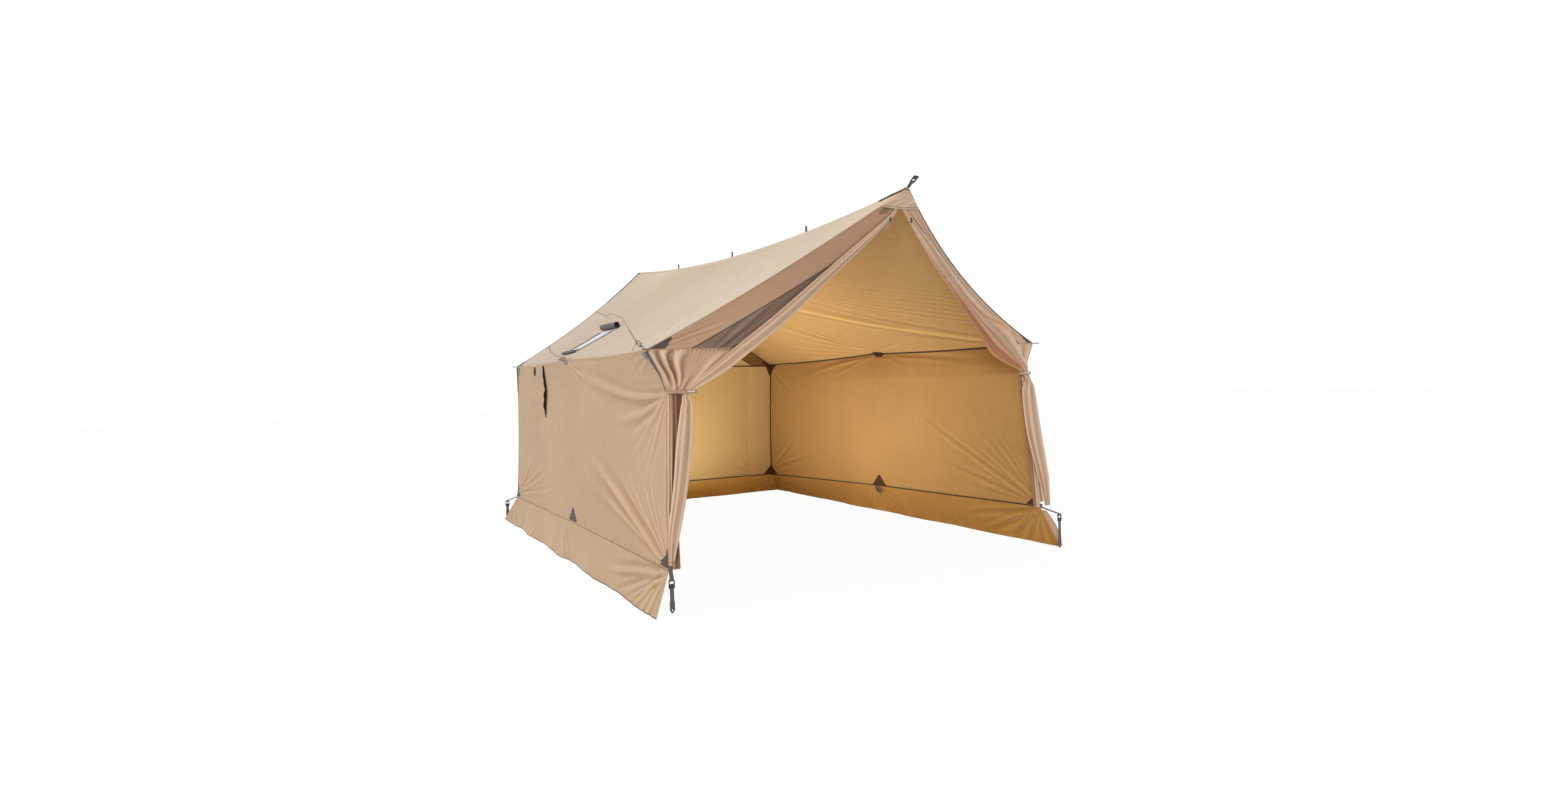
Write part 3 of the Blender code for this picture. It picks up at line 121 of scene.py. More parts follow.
def camera():
    turn, rise, roll = np.radians((-29.692, 1.312, -1.715))
    ahead = vec(-math.sin(turn) * math.cos(rise), math.cos(turn) * math.cos(rise), -math.sin(rise))
    right = unit(np.cross(ahead, (0, 0, 1)))
    up = np.cross(right, ahead)
    x_axis = math.cos(roll) * right + math.sin(roll) * up
    y_axis = -math.sin(roll) * right + math.cos(roll) * up
    data = bpy.data.cameras.new("camera")
    data.sensor_width = SENSOR
    data.lens = FOCAL_PIXELS / IMAGE_WIDTH * SENSOR
    data.clip_start = 0.05
    made = bpy.data.objects.new("camera", data)
    matrix = np.eye(4)
    matrix[:3, 0], matrix[:3, 1], matrix[:3, 2] = x_axis, y_axis, -ahead
    matrix[:3, 3] = CAMERA_PLACE
    made.matrix_world = Matrix(matrix.tolist())
    bpy.context.scene.collection.objects.link(made)
    bpy.context.scene.camera = made


camera()


# Materials

def tint(colour, share, more=0.0):
    return tuple(c * share + more for c in colour)


def feed(tree, value, socket):
    """Gives a socket a number, a colour or another node's output."""
    if isinstance(value, bpy.types.NodeSocket):
        tree.links.new(value, socket)
    else:
        socket.default_value = (*value, 1.0) if isinstance(value, tuple) else value


def add(tree, kind, inputs, output=0, **settings):
    """A new node with its settings and inputs, of which one output is used."""
    node = tree.nodes.new("ShaderNode" + kind)
    for key, value in settings.items():
        setattr(node, key, value)
    for key, value in inputs.items():
        feed(tree, value, node.inputs[key])
    return node.outputs[output]


def mixed(tree, factor, first, second, how="MIX"):
    inputs = {0: factor, 6: first, 7: second}
    return add(tree, "Mix", inputs, 2, data_type="RGBA", blend_type=how)


def maths(tree, what, first, second):
    return add(tree, "Math", {0: first, 1: second}, operation=what)


def ranged(tree, value, low, high, to_low, to_high):
    return add(tree, "MapRange", {0: value, 1: low, 2: high, 3: to_low, 4: to_high})


def noise(tree, where, scale, detail):
    return add(tree, "TexNoise", {"Vector": where, "Scale": scale, "Detail": detail}, "Fac")


def bands(tree, where, direction, period):
    """A wave whose bands repeat every period metres."""
    inputs = {"Vector": where, "Scale": math.pi / 10 / period}
    return add(tree, "TexWave", inputs, "Fac", bands_direction=direction)


def bump(tree, height, strength, distance, **more):
    inputs = {"Height": height, "Strength": strength, "Distance": distance, **more}
    return add(tree, "Bump", inputs)


def shader_of(name, colour, roughness, sheen=0.0):
    """A new material, its node tree and its shader's inputs."""
    made = bpy.data.materials.new(name)
    made.use_nodes = True
    tree = made.node_tree
    inputs = tree.nodes["Principled BSDF"].inputs
    for key, value in (("Base Color", colour), ("Roughness", roughness), ("Sheen Weight", sheen)):
        feed(tree, value, inputs[key])
    return made, tree, inputs


def place_in(tree):
    return add(tree, "TexCoord", {}, "Object")


DYE_VARIES = 0.07


def cloth(name, colour, roughness, weave=0.0012, weave_depth=0.0002, checks=0.0,
          crease=0.0006, crease_scale=14.0, sheen=0.15, alpha=1.0):
    """Woven cloth: uneven dye, a weave, faint reinforcing threads, small creases and painted light
    and shade from the mesh's tone.
    """
    made, tree, inputs = shader_of(name, colour, roughness, sheen)
    feed(tree, 0.5, inputs["Sheen Roughness"])
    feed(tree, 0.22 if roughness > 0.5 else 0.5, inputs["Specular IOR Level"])
    feed(tree, alpha, inputs["Alpha"])
    here, flat = place_in(tree), add(tree, "UVMap", {}, "UV")
    wide, fine = noise(tree, here, 1.3, 3.0), noise(tree, here, 23.0, 5.0)
    dye = mixed(tree, ranged(tree, wide, 0.3, 0.7, 0.0, 1.0),
                tint(colour, 1.0 - DYE_VARIES), tint(colour, 1.0 + DYE_VARIES))
    dye = mixed(tree, ranged(tree, fine, 0.35, 0.65, 0.0, 0.25), dye,
                tint(colour, 1.0 - DYE_VARIES * 1.6))
    weaving = maths(tree, "MULTIPLY", *(bands(tree, flat, way, weave) for way in "XY"))
    dye = mixed(tree, ranged(tree, weaving, 0.0, 1.0, 0.08, 0.0), dye, tint(colour, 0.72))
    if checks:
        lines = [ranged(tree, bands(tree, flat, way, checks), 0.93, 1.0, 0.0, 0.1) for way in "XY"]
        dye = mixed(tree, maths(tree, "MAXIMUM", *lines), dye, tint(colour, 0.8))
    # painted light and shade: the tone attribute darkens the folds' hollows and lightens their
    # ridges, and browns parts of the leaves
    painted_light_and_tint = add(tree, "Attribute", {}, "Color", attribute_name="tone")
    feed(tree, mixed(tree, 1.0, dye, painted_light_and_tint, "MULTIPLY"), inputs["Base Color"])
    rough = ranged(tree, fine, 0.3, 0.7, max(roughness - 0.09, 0.05), min(roughness + 0.09, 1.0))
    feed(tree, rough, inputs["Roughness"])
    small = bump(tree, weaving, 0.5, weave_depth)
    large = bump(tree, noise(tree, here, crease_scale, 6.0), 0.6, crease, Normal=small)
    feed(tree, large, inputs["Normal"])
    return made


def webbing(name, colour, period=0.0022):
    """Woven webbing: ribs across, threads along, a dusty wear."""
    made, tree, inputs = shader_of(name, colour, 0.75, 0.03)
    here = place_in(tree)
    spots = noise(tree, here, 120.0, 4.0)
    feed(tree, mixed(tree, ranged(tree, spots, 0.3, 0.7, 0.0, 1.0), tint(colour, 0.75),
                     tint(colour, 1.3)), inputs["Base Color"])
    ribs = maths(tree, "ADD", bands(tree, here, "Z", period), bands(tree, here, "DIAGONAL", period))
    feed(tree, bump(tree, ribs, 0.6, 0.0005), inputs["Normal"])
    feed(tree, ranged(tree, spots, 0.3, 0.7, 0.65, 0.88), inputs["Roughness"])
    return made


def plastic(name, colour, roughness):
    """Moulded plastic: fine grain, scuffs that dull it."""
    made, tree, inputs = shader_of(name, colour, roughness)
    here = place_in(tree)
    scuffs, grain = noise(tree, here, 90.0, 6.0), noise(tree, here, 900.0, 2.0)
    feed(tree, mixed(tree, ranged(tree, scuffs, 0.45, 0.7, 0.0, 1.0), colour,
                     tint(colour, 1.35, 0.01)), inputs["Base Color"])
    feed(tree, ranged(tree, scuffs, 0.35, 0.7, roughness - 0.08, roughness + 0.2),
         inputs["Roughness"])
    feed(tree, bump(tree, grain, 0.3, 0.0002), inputs["Normal"])
    return made


RIPSTOP = {"checks": 0.006}
TAPE = {"crease": 0.0004, "sheen": 0.0}
PATCH = {"crease": 0.0008, "sheen": 0.0}
FINE = {"sheen": 0.2, "weave_depth": 0.0001}
# each "_in" look is the colour of a piece's inner face, partly painted light: its warmer, deeper
# colour stands for daylight shining through the thin cloth
CLOTHS = {
    "roof_out": ((0.69, 0.55, 0.40), 0.72, RIPSTOP),
    "roof_in": ((0.50, 0.30, 0.095), 0.75, RIPSTOP),
    "wall_out": ((0.60, 0.40, 0.245), 0.78, RIPSTOP),
    "wall_in": ((0.46, 0.27, 0.09), 0.8, {**RIPSTOP, "sheen": 0.05}),
    "back_in": ((0.60, 0.43, 0.18), 0.8, RIPSTOP),
    "skirt_out": ((0.60, 0.41, 0.25), 0.7, {}),
    "skirt_in": ((0.48, 0.265, 0.068), 0.75, {"sheen": 0.0}),
    "band_out": ((0.50, 0.31, 0.195), 0.7, RIPSTOP),
    "band_in": ((0.20, 0.115, 0.03), 0.75, {}),
    "satin": ((0.56, 0.365, 0.235), 0.34, FINE),
    "satin_in": ((0.52, 0.31, 0.16), 0.5, {"sheen": 0.3}),
    "mesh": ((0.26, 0.18, 0.13), 0.6,
             {"weave": 0.0025, "weave_depth": 0.0006, "alpha": 0.86, "sheen": 0.0}),
    "seam": ((0.27, 0.17, 0.10), 0.75, TAPE),
    "hood": ((0.62, 0.45, 0.31), 0.72, {"crease": 0.002, "crease_scale": 30.0}),
    "rust": ((0.24, 0.11, 0.055), 0.5, FINE),
    "tie": ((0.42, 0.27, 0.175), 0.6, {"crease": 0.003, "crease_scale": 60.0}),
    "dark_trim": ((0.045, 0.022, 0.010), 0.75, TAPE),
    "black_trim": ((0.018, 0.016, 0.015), 0.7, TAPE),
    "grey_patch": ((0.100, 0.080, 0.072), 0.55, PATCH),
    "pale_patch": ((0.25, 0.25, 0.25), 0.6, {"crease": 0.0008, "sheen": 0.02}),
    "brown_patch": ((0.075, 0.03, 0.011), 0.75, PATCH),
    "stove": ((0.88, 0.88, 0.90), 0.7, {"weave": 0.002}),
    "roll": ((0.075, 0.065, 0.06), 0.5, {"weave": 0.002, "sheen": 0.0}),
    "zip": ((0.10, 0.06, 0.035), 0.7, {"weave": 0.0016, "weave_depth": 0.0005, "sheen": 0.0}),
}
LOOK = {name: cloth(name, colour, roughness, **more)
        for name, (colour, roughness, more) in CLOTHS.items()}
LOOK["webbing"] = webbing("webbing", (0.105, 0.095, 0.085))
LOOK["cord"] = webbing("cord", (0.06, 0.045, 0.036), 0.0012)
LOOK["dark_plastic"] = plastic("dark_plastic", (0.028, 0.028, 0.028), 0.38)
LOOK["pale_plastic"] = plastic("pale_plastic", (0.62, 0.56, 0.45), 0.42)


# Guylines, lying over the left slope from their loops at the eave

ROOF_CORD = (
    (-1.3983, -1.6993, 1.3473), (-1.3561, -1.5945, 1.3572), (-1.3245, -1.4862, 1.3674),
    (-1.2966, -1.3767, 1.3776), (-1.2694, -1.267, 1.3867), (-1.236, -1.1593, 1.3993),
    (-1.2018, -1.052, 1.4131), (-1.1679, -0.9446, 1.4264), (-1.1341, -0.8372, 1.4404),
    (-1.1021, -0.7296, 1.4568), (-1.0702, -0.622, 1.4734), (-1.0391, -0.514, 1.4891),
    (-1.0074, -0.4062, 1.5051), (-0.9757, -0.2989, 1.5235), (-0.9444, -0.1915, 1.5426),
    (-0.9161, -0.0843, 1.566), (-0.8932, 0.0224, 1.5973), (-0.869, 0.1291, 1.6272),
    (-0.8452, 0.236, 1.6566), (-0.8142, 0.3434, 1.6753), (-0.7902, 0.4534, 1.6888),
    (-0.7678, 0.5638, 1.7024), (-0.7455, 0.6741, 1.7169), (-0.7241, 0.7845, 1.7319),
    (-0.7034, 0.895, 1.747), (-0.6831, 1.0053, 1.7647), (-0.6576, 1.1154, 1.7725),
    (-0.6335, 1.2263, 1.7751), (-0.611, 1.3374, 1.7786), (-0.5892, 1.4485, 1.7852),
    (-0.5744, 1.5597, 1.8019), (-0.5606, 1.6709, 1.82), (-0.5467, 1.7819, 1.8386),
    (-0.5333, 1.8929, 1.8582),
)
SIDE_CORD = (
    (-1.3645, 0.1, 1.3578), (-1.2982, 0.1532, 1.3661), (-1.2835, 0.2361, 1.37),
    (-1.268, 0.3201, 1.374), (-1.253, 0.4042, 1.3784), (-1.2382, 0.4883, 1.3833),
    (-1.2234, 0.5724, 1.3887), (-1.2087, 0.6565, 1.3943), (-1.1945, 0.7406, 1.4005),
    (-1.1803, 0.8247, 1.4068), (-1.1667, 0.9089, 1.4134), (-1.1533, 0.993, 1.4209),
    (-1.1397, 1.077, 1.429), (-1.126, 1.1611, 1.4371), (-1.1124, 1.2452, 1.4452),
    (-1.0997, 1.3292, 1.4543), (-1.0872, 1.4133, 1.4637), (-1.0711, 1.4965, 1.4753),
    (-1.0542, 1.5793, 1.4886), (-1.0375, 1.6621, 1.5021), (-1.0211, 1.7448, 1.5161),
    (-1.0049, 1.8275, 1.5307),
)
CORD_DIAMETER = 0.003


def link(made, body="tent"):
    bpy.context.scene.collection.objects.link(made)
    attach(made, body)
    return made


def guyline(node, points):
    """A cord along its route, standing for its node, and its length."""
    data = bpy.data.curves.new(node + "_cord", "CURVE")
    data.dimensions, data.bevel_depth, data.bevel_resolution = "3D", CORD_DIAMETER / 2, 3
    data.use_fill_caps = True
    spline = data.splines.new("POLY")
    line = smooth_line(points, 4 * len(points))
    spline.points.add(len(line) - 1)
    for point, place in zip(spline.points, line):
        point.co = (*place, 1.0)
    data.materials.append(LOOK["cord"])
    made = link(bpy.data.objects.new(node + "_cord", data))
    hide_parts(node)
    return made, round(float(runs(line, 0)[-1]), 3)


# Meshes

def mesh_object(name, points, faces, looks, which=None, uv=None, tone=1.0, smooth=True,
                body="tent"):
    """An object from points and faces, with the cloth's own flat coordinates and its painted light
    and shade.
    """
    mesh = bpy.data.meshes.new(name)
    points = np.asarray(points, float)
    mesh.from_pydata(points.tolist(), [], faces)
    for look in looks:
        mesh.materials.append(LOOK[look])
    if which is not None:
        mesh.polygons.foreach_set("material_index", np.asarray(which, np.int32))
    corner = np.empty(len(mesh.loops), np.int32)
    mesh.loops.foreach_get("vertex_index", corner)
    if uv is None:
        uv = points[:, :2] + points[:, 2:]
    mesh.uv_layers.new(name="UVMap").data.foreach_set(
        "uv", np.asarray(uv, np.float32)[corner].reshape(-1))
    # the tone attribute: painted light and shade of folds, 1 where none is painted
    colours = np.ones((len(points), 4), np.float32)
    colours[:, :3] = np.clip(tone, 0.0, 1.5)
    mesh.color_attributes.new("tone", "FLOAT_COLOR", "POINT").data.foreach_set(
        "color", colours.reshape(-1))
    if smooth:
        mesh.shade_smooth()
        mesh.set_sharp_from_angle(angle=math.radians(50.0))
    mesh.update()
    made = link(bpy.data.objects.new(name, mesh), body)
    return made


def runs(points, axis):
    """Distances walked along one axis of an array of points."""
    steps = np.linalg.norm(np.diff(points, axis=axis), axis=-1)
    return np.concatenate([np.zeros_like(steps.take([0], axis)), np.cumsum(steps, axis)], axis)


def respaced(line, count):
    run = runs(line, 0)
    even = np.linspace(0, run[-1], count)
    return np.stack([np.interp(even, run, line[:, k]) for k in range(3)], 1)


def grid_normals(grid):
    normals = np.cross(np.gradient(grid, axis=0), np.gradient(grid, axis=1))
    return normals / np.maximum(np.linalg.norm(normals, axis=2, keepdims=True), 1e-9)


MIDDLE = vec(0.0, 0.096, 0.7)


class Surface:
    """A sheet of points with its outward normals and its flat coordinates in metres."""

    def __init__(self, grid, flip=None):
        self.grid = np.asarray(grid, float)
        self.normals = grid_normals(self.grid)
        away = ((self.grid - MIDDLE) * self.normals).sum() > 0
        self.sign = 1.0 if (away if flip is None else flip) else -1.0
        self.normals = self.normals * self.sign
        self.s, self.t = runs(self.grid, 1), runs(self.grid, 0)
        self.width, self.length = float(self.s[:, -1].max()), float(self.t[-1].max())
        g = self.grid
        a, b = g[1:, 1:] - g[:-1, :-1], g[1:, :-1] - g[:-1, 1:]
        self.area = float(np.linalg.norm(np.cross(a, b), axis=2).sum() / 2)
        # tone and tone_in: painted light and shade for the outer and the inner faces
        self.tone, self.tone_in = np.ones(self.s.shape), np.ones(self.s.shape)

    def turned(self):
        self.normals, self.sign = -self.normals, -self.sign

    def push(self, by, edges):
        """Moves the sheet out by a height, held still at its edges: top, bottom, first, last."""
        places = (self.t, self.t[-1:] - self.t, self.s, self.s[:, -1:] - self.s)
        for place, room in zip(places, edges):
            if room:
                by = by * eased(np.clip(place / room, 0.0, 1.0))
        self.grid = self.grid + self.normals * by[:, :, None]
        # painted shade in the fold hollows and a painted highlight on the ridges of the outer
        # faces, the other way round on the inner faces
        hollow = by - sum(np.roll(by, step, axis) for axis in (0, 1) for step in (3, -3)) / 4
        rise = np.clip(hollow * 55.0 + by * 7.0, -0.18, 0.14)
        self.tone, self.tone_in = self.tone * (1.0 + rise), self.tone_in * (1.0 - rise)
        self.normals = grid_normals(self.grid) * self.sign

    def at(self, u, v, lift=0.0):
        """Points at shares of the sheet's columns and rows, lifted off it."""
        rows, columns = self.s.shape
        x = np.clip(np.asarray(u, float), 0, 1) * (columns - 1)
        y = np.clip(np.asarray(v, float), 0, 1) * (rows - 1)
        i, j = np.minimum(y.astype(int), rows - 2), np.minimum(x.astype(int), columns - 2)
        f, g = (y - i)[..., None], (x - j)[..., None]
        made = [(a[i, j] * (1 - g) + a[i, j + 1] * g) * (1 - f)
                + (a[i + 1, j] * (1 - g) + a[i + 1, j + 1] * g) * f
                for a in (self.grid, self.normals)]
        return made[0] + made[1] * np.asarray(lift)[..., None]

    def way(self, u, v):
        made = self.at(u, v, 1.0) - self.at(u, v)
        return made / np.linalg.norm(made, axis=-1, keepdims=True)


def quads(number):
    """The faces between neighbours in an array of point numbers."""
    a, b = number[:-1], number[1:]
    return np.stack([a[:, :-1], a[:, 1:], b[:, 1:], b[:, :-1]], axis=2).reshape(-1, 4)


def closed_sheet(rows, columns, turned=False):
    """The faces of a sheet's two sides and of the rim between them."""
    n = rows * columns
    number = np.arange(n).reshape(rows, columns)
    front = quads(number)
    rim = np.r_[number[0], number[1:, -1], number[-1, -2::-1], number[-2:0:-1, 0]]
    after = np.roll(rim, -1)
    side = np.stack([rim, after, after + n, rim + n], axis=1)
    if turned:
        front = front[:, ::-1]
    else:
        side = side[:, ::-1]
    return front, np.concatenate([front, front[:, ::-1] + n, side])


def shell(name, surface, thickness, outer, inner, nodes=(), flat=None,
          area=None, spots=None, low=None, body="tent"):
    """A thin closed sheet over a surface, its outer and inner faces with their own looks."""
    rows, columns = surface.s.shape
    n = rows * columns
    half = surface.normals * thickness / 2
    points = np.concatenate([(surface.grid + half).reshape(-1, 3),
                             (surface.grid - half).reshape(-1, 3)])
    front, faces = closed_sheet(rows, columns, surface.sign > 0)
    which = np.zeros(len(faces))
    which[len(front) : 2 * len(front)] = 1
    looks = [outer, inner]
    if spots:
        looks.append(spots[0])
        which[: len(front)][np.asarray(spots[1]).reshape(-1)] = 2
    if low:
        looks.append(low[0])
        which[len(front) : 2 * len(front)][np.repeat(low[1], columns - 1)] = len(looks) - 1
    uv = np.stack([surface.s, surface.t], axis=2).reshape(-1, 2)
    # the painted shade in hollows is warmer as well as darker, as in lit thin cloth
    tone = np.concatenate([np.broadcast_to(a.reshape(n, -1), (n, 3))
                           for a in (surface.tone, surface.tone_in)]) ** vec(0.85, 1.1, 1.35)
    made = mesh_object(name, points, faces.tolist(), looks, which, np.concatenate([uv, uv]),
                       tone, body=body)
    if nodes:
        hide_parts(*nodes)
    # a tapering sheet's flat size is adapted to its area
    size = flat or (surface.width, surface.length)
    whole = area or surface.area / 1.02
    if whole > 0.98 * size[0] * size[1]:
        size = (size[0], whole / 0.98 / size[0])
    if whole < 0.31 * size[0] * size[1]:
        size = (size[0], whole / 0.4 / size[0])


def swept(name, rings, look, body="tent"):
    """A closed tube over rings of points."""
    rings = np.asarray(rings, float)
    count, sides = rings.shape[:2]
    number = np.arange(count * sides).reshape(count, sides)
    faces = quads(np.c_[number, number[:, 0]]).tolist()
    faces += [number[0, ::-1].tolist(), number[-1].tolist()]
    run = runs(rings.mean(axis=1), 0)
    girth = runs(rings[0], 0)[-1]
    flat = np.stack(np.broadcast_arrays(np.linspace(0, girth, sides)[None, :], run[:, None]), 2)
    return mesh_object(name, rings.reshape(-1, 3), faces, [look], None,
                       flat.reshape(-1, 2), body=body)


def tube_rings(line, radius, sides=8):
    line = np.asarray(line, float)
    ahead = np.gradient(line, axis=0)
    ahead /= np.maximum(np.linalg.norm(ahead, axis=1, keepdims=True), 1e-9)
    first = np.cross(ahead, (0.0, 0.0, 1.0))
    weak = np.linalg.norm(first, axis=1) < 0.05
    first[weak] = np.cross(ahead[weak], (1.0, 0.0, 0.0))
    first[np.linalg.norm(first, axis=1) < 1e-6] = (0.0, 1.0, 0.0)
    first /= np.linalg.norm(first, axis=1, keepdims=True)
    second = np.cross(ahead, first)
    turns = np.arange(sides) / sides * math.tau
    radius = np.broadcast_to(np.asarray(radius, float), (len(line),))[:, None, None]
    return line[:, None] + radius * (np.cos(turns)[None, :, None] * first[:, None]
                                     + np.sin(turns)[None, :, None] * second[:, None])


def tube(name, line, radius, look, sides=8, body="tent"):
    return swept(name, tube_rings(line, radius, sides), look, body)


def edging(name, surface, u, v, count, lift, radius, look, sides=8):
    """A tube along a surface, from one share to another or at one share."""
    u, v = (np.linspace(*x, count) if isinstance(x, tuple) else np.full(count, x) for x in (u, v))
    tube(name, surface.at(u, v, lift), radius, look, sides)


def ribbon(name, surface, places, width, lift, look, thickness=0.0012):
    """A tape laid along a line of shares on a surface."""
    line = surface.at(places[:, 0], places[:, 1])
    out = surface.way(places[:, 0], places[:, 1])
    side = np.cross(np.gradient(line, axis=0), out)
    side /= np.linalg.norm(side, axis=1, keepdims=True)
    section = ((-1, 0), (-0.9, 1), (0.9, 1), (1, 0), (0.9, -1), (-0.9, -1))
    rings = [line + side * (a * width / 2) + out * (lift + b * thickness / 2) for a, b in section]
    swept(name, np.stack(rings, axis=1), look)


def seam(name, surface, places, width, lift, look, slot, thickness=0.0012, count=80):
    places = smooth_line(places, count)
    ribbon(name, surface, places, width, lift, look, thickness)


PATCH_POINTS, PATCH_CLOTH = 22, 0.0012


def patch(name, surface, corners, look, lift=0.0014, body="tent"):
    """A sewn patch between four corners given in shares of a surface."""
    a, b, c, d = (np.array(p, float) for p in corners)
    u = evenly(PATCH_POINTS)
    grid = np.array([[(a * (1 - x) + b * x) * (1 - y) + (d * (1 - x) + c * x) * y for x in u]
                     for y in u])
    sides = [surface.at(grid[..., 0], grid[..., 1], lift + k * PATCH_CLOTH / 2) for k in (1, -1)]
    faces = closed_sheet(PATCH_POINTS, PATCH_POINTS)[1].tolist()
    uv = (grid * (surface.width, surface.length)).reshape(-1, 2)
    made = mesh_object(name, np.reshape(sides, (-1, 3)), faces, [look], None,
                       np.concatenate([uv, uv]), body=body)
    fix = bmesh.new()
    fix.from_mesh(made.data)
    bmesh.ops.remove_doubles(fix, verts=fix.verts, dist=1e-6)
    bmesh.ops.recalc_face_normals(fix, faces=fix.faces)
    fix.to_mesh(made.data)
    fix.free()


# Folds

def noise_field(x, y, seed):
    """Smooth even noise from -1 to 1 over a plane."""
    lattice = np.random.RandomState(seed).rand(64, 64) * 2 - 1
    i, j = np.floor(x).astype(int), np.floor(y).astype(int)
    f, g = eased(x - i), eased(y - j)
    a, b = lattice[i % 64, j % 64], lattice[(i + 1) % 64, j % 64]
    c, d = lattice[i % 64, (j + 1) % 64], lattice[(i + 1) % 64, (j + 1) % 64]
    return (a * (1 - f) + b * f) * (1 - g) + (c * (1 - f) + d * f) * g


def fold(surface, start, end, width, height, grow=1.0, bow=0.0):
    """A soft ridge between two places in metres, its width growing towards the end."""
    s, t = surface.s, surface.t
    (ax, ay), (bx, by) = start, end
    dx, dy = bx - ax, by - ay
    long = math.hypot(dx, dy)
    along = ((s - ax) * dx + (t - ay) * dy) / long**2
    off = ((s - ax) * -dy + (t - ay) * dx) / long
    inside = np.clip(along, 0.0, 1.0)
    off = off - bow * 4 * inside * (1 - inside)
    beyond = (along - inside) * long
    wide = np.maximum(0.62 * width * (1 + (grow - 1) * inside), 0.010)
    x = off / wide
    starts = np.clip(inside * long / (0.03 + 5 * width), 0, 1)
    ends = np.clip((1 - inside) / 0.5, 0, 1) ** 1.4
    profile = bell(x, 0.0, 1.0) - 0.5 * bell(x, 1.6, 1.0) - 0.25 * bell(x, -1.8, 1.0)
    return 0.8 * height * profile * (starts * ends) * bell(beyond, 0.0, 0.03)


def folds(surface, *table):
    return sum(fold(surface, *row) for row in table)


def rays(surface, centre, first, last, count, long, width, height, seed, grow=3.0):
    """Folds that fan out from a corner between two bearings in degrees."""
    chance = np.random.RandomState(seed)
    total = np.zeros_like(surface.s)
    for k in range(count):
        place = (k + 0.5 + 0.6 * (chance.rand() - 0.5)) / count
        turn = math.radians(first + (last - first) * place)
        reach = long * (0.55 + 0.6 * chance.rand())
        end = (centre[0] + reach * math.cos(turn), centre[1] + reach * math.sin(turn))
        size = 0.5 + 0.9 * chance.rand()
        total += fold(surface, centre, end, width * size, height * size * (1 if k % 2 else -0.6),
                      grow, bow=0.02 * (chance.rand() - 0.5))
    return total


def axes(surface, turn):
    """A surface's flat coordinates along and across a bearing in degrees."""
    a = math.radians(turn)
    return (surface.s * math.cos(a) + surface.t * math.sin(a),
            surface.t * math.cos(a) - surface.s * math.sin(a))


def wrinkles(surface, spacing, height, turn, seed, wander=0.6):
    """Many nearly parallel fine wrinkles that come and go."""
    x, y = axes(surface, turn)
    bend = noise_field(x * 0.9 + 3, y * 3 + 1, seed) * wander * spacing * 2
    phase = (y + bend) / spacing
    come = 0.5 + 0.5 * noise_field(x * 1.1, y / spacing * 0.6, seed + 1)
    return height * np.sin(math.tau * phase) * come**1.5


# The tent's corners and edge lines, as in its CAD

SIDES = {"left": -1.0, "right": 1.0}
ENDS = {"front": -1.0, "back": 1.0}
RIDGE_HEIGHTS = {"front": 2.2, "back": 2.268}
RIDGE_REACHES = {"front": -2.061, "back": 2.122}
RIDGE_SAG = 0.107
EAVE_HALF_WIDTH, EAVE_HALF_LENGTH, EAVE_HEIGHT = 1.319, 1.779, 1.349
SEAM_HALF_WIDTH, SEAM_HALF_LENGTH, SEAM_HEIGHT = 1.313, 1.826, 0.213
WALLS_SET_BACK = 0.096
SKIRT_SPREAD, SKIRT_END_SPREAD = 0.105, 0.072
SLOPE_EDGE_SAG, SLOPE_EDGE_BOW = 0.034, 0.089
EAVE_SPAN_SAG, FRONT_EDGE_PULL, BACK_EDGE_PULL = 0.012, 0.08, 0.015
PULL = 0.05
EAVE_PULLS = {
    ("left", "front"): (-0.96, 0.30, -0.12), ("right", "front"): (0.28, -0.26, 0.28),
    ("left", "back"): (0.78, -0.14, 0.14), ("right", "back"): (-0.36, 0.18, -0.32),
}
SEAM_PULLS = {
    ("left", "front"): (0.02, 0.0, 0.12), ("right", "front"): (0.32, -0.14, 1.14),
    ("left", "back"): (0.18, -0.06, -0.34), ("right", "back"): (-0.28, 0.06, -0.72),
}
PEAK_PULLS = {"front": (0.48, 0.0, 0.0), "back": (-0.42, 0.0, 0.0)}
EAVE_MIDDLE_PULLS = {"left": (0.06, 0.0, 0.08), "right": (0.66, 0.0, 0.50)}
SEAM_MIDDLE_PULLS = {"left": (-0.22, 0.0, 0.38), "right": (0.12, 0.0, 0.28)}


def corner(half_width, half_length, height, side, end, pull):
    even = vec(SIDES[side] * half_width, WALLS_SET_BACK + ENDS[end] * half_length, height)
    return even + PULL * np.array(pull)


def eave_corner(side, end):
    pull = EAVE_PULLS[side, end]
    return corner(EAVE_HALF_WIDTH, EAVE_HALF_LENGTH, EAVE_HEIGHT, side, end, pull)


def seam_corner(side, end):
    pull = SEAM_PULLS[side, end]
    return corner(SEAM_HALF_WIDTH, SEAM_HALF_LENGTH, SEAM_HEIGHT, side, end, pull)


def peak(end):
    return vec(0.0, RIDGE_REACHES[end], RIDGE_HEIGHTS[end]) + PULL * np.array(PEAK_PULLS[end])


def sagged(start, end, shares, sag):
    t = np.asarray(shares)[:, None]
    return start + (end - start) * t + np.asarray(sag) * 4.0 * t * (1.0 - t)


def two_spans(start, middle, end, shares, sag):
    line = []
    for t in shares:
        a, b, f = (start, middle, 2 * t) if t < 0.5 else (middle, end, 2 * t - 1)
        line.append(a + (b - a) * f + np.asarray(sag) * 4.0 * f * (1.0 - f))
    return np.array(line)


def ridge_line(shares):
    return sagged(peak("front"), peak("back"), shares, (0.0, 0.0, -RIDGE_SAG))


def eave_line(side, shares):
    start, end = eave_corner(side, "front"), eave_corner(side, "back")
    middle = (start + end) / 2 + PULL * np.array(EAVE_MIDDLE_PULLS[side])
    return two_spans(start, middle, end, shares,
                     (-SIDES[side] * EAVE_SPAN_SAG, 0.0, -EAVE_SPAN_SAG))


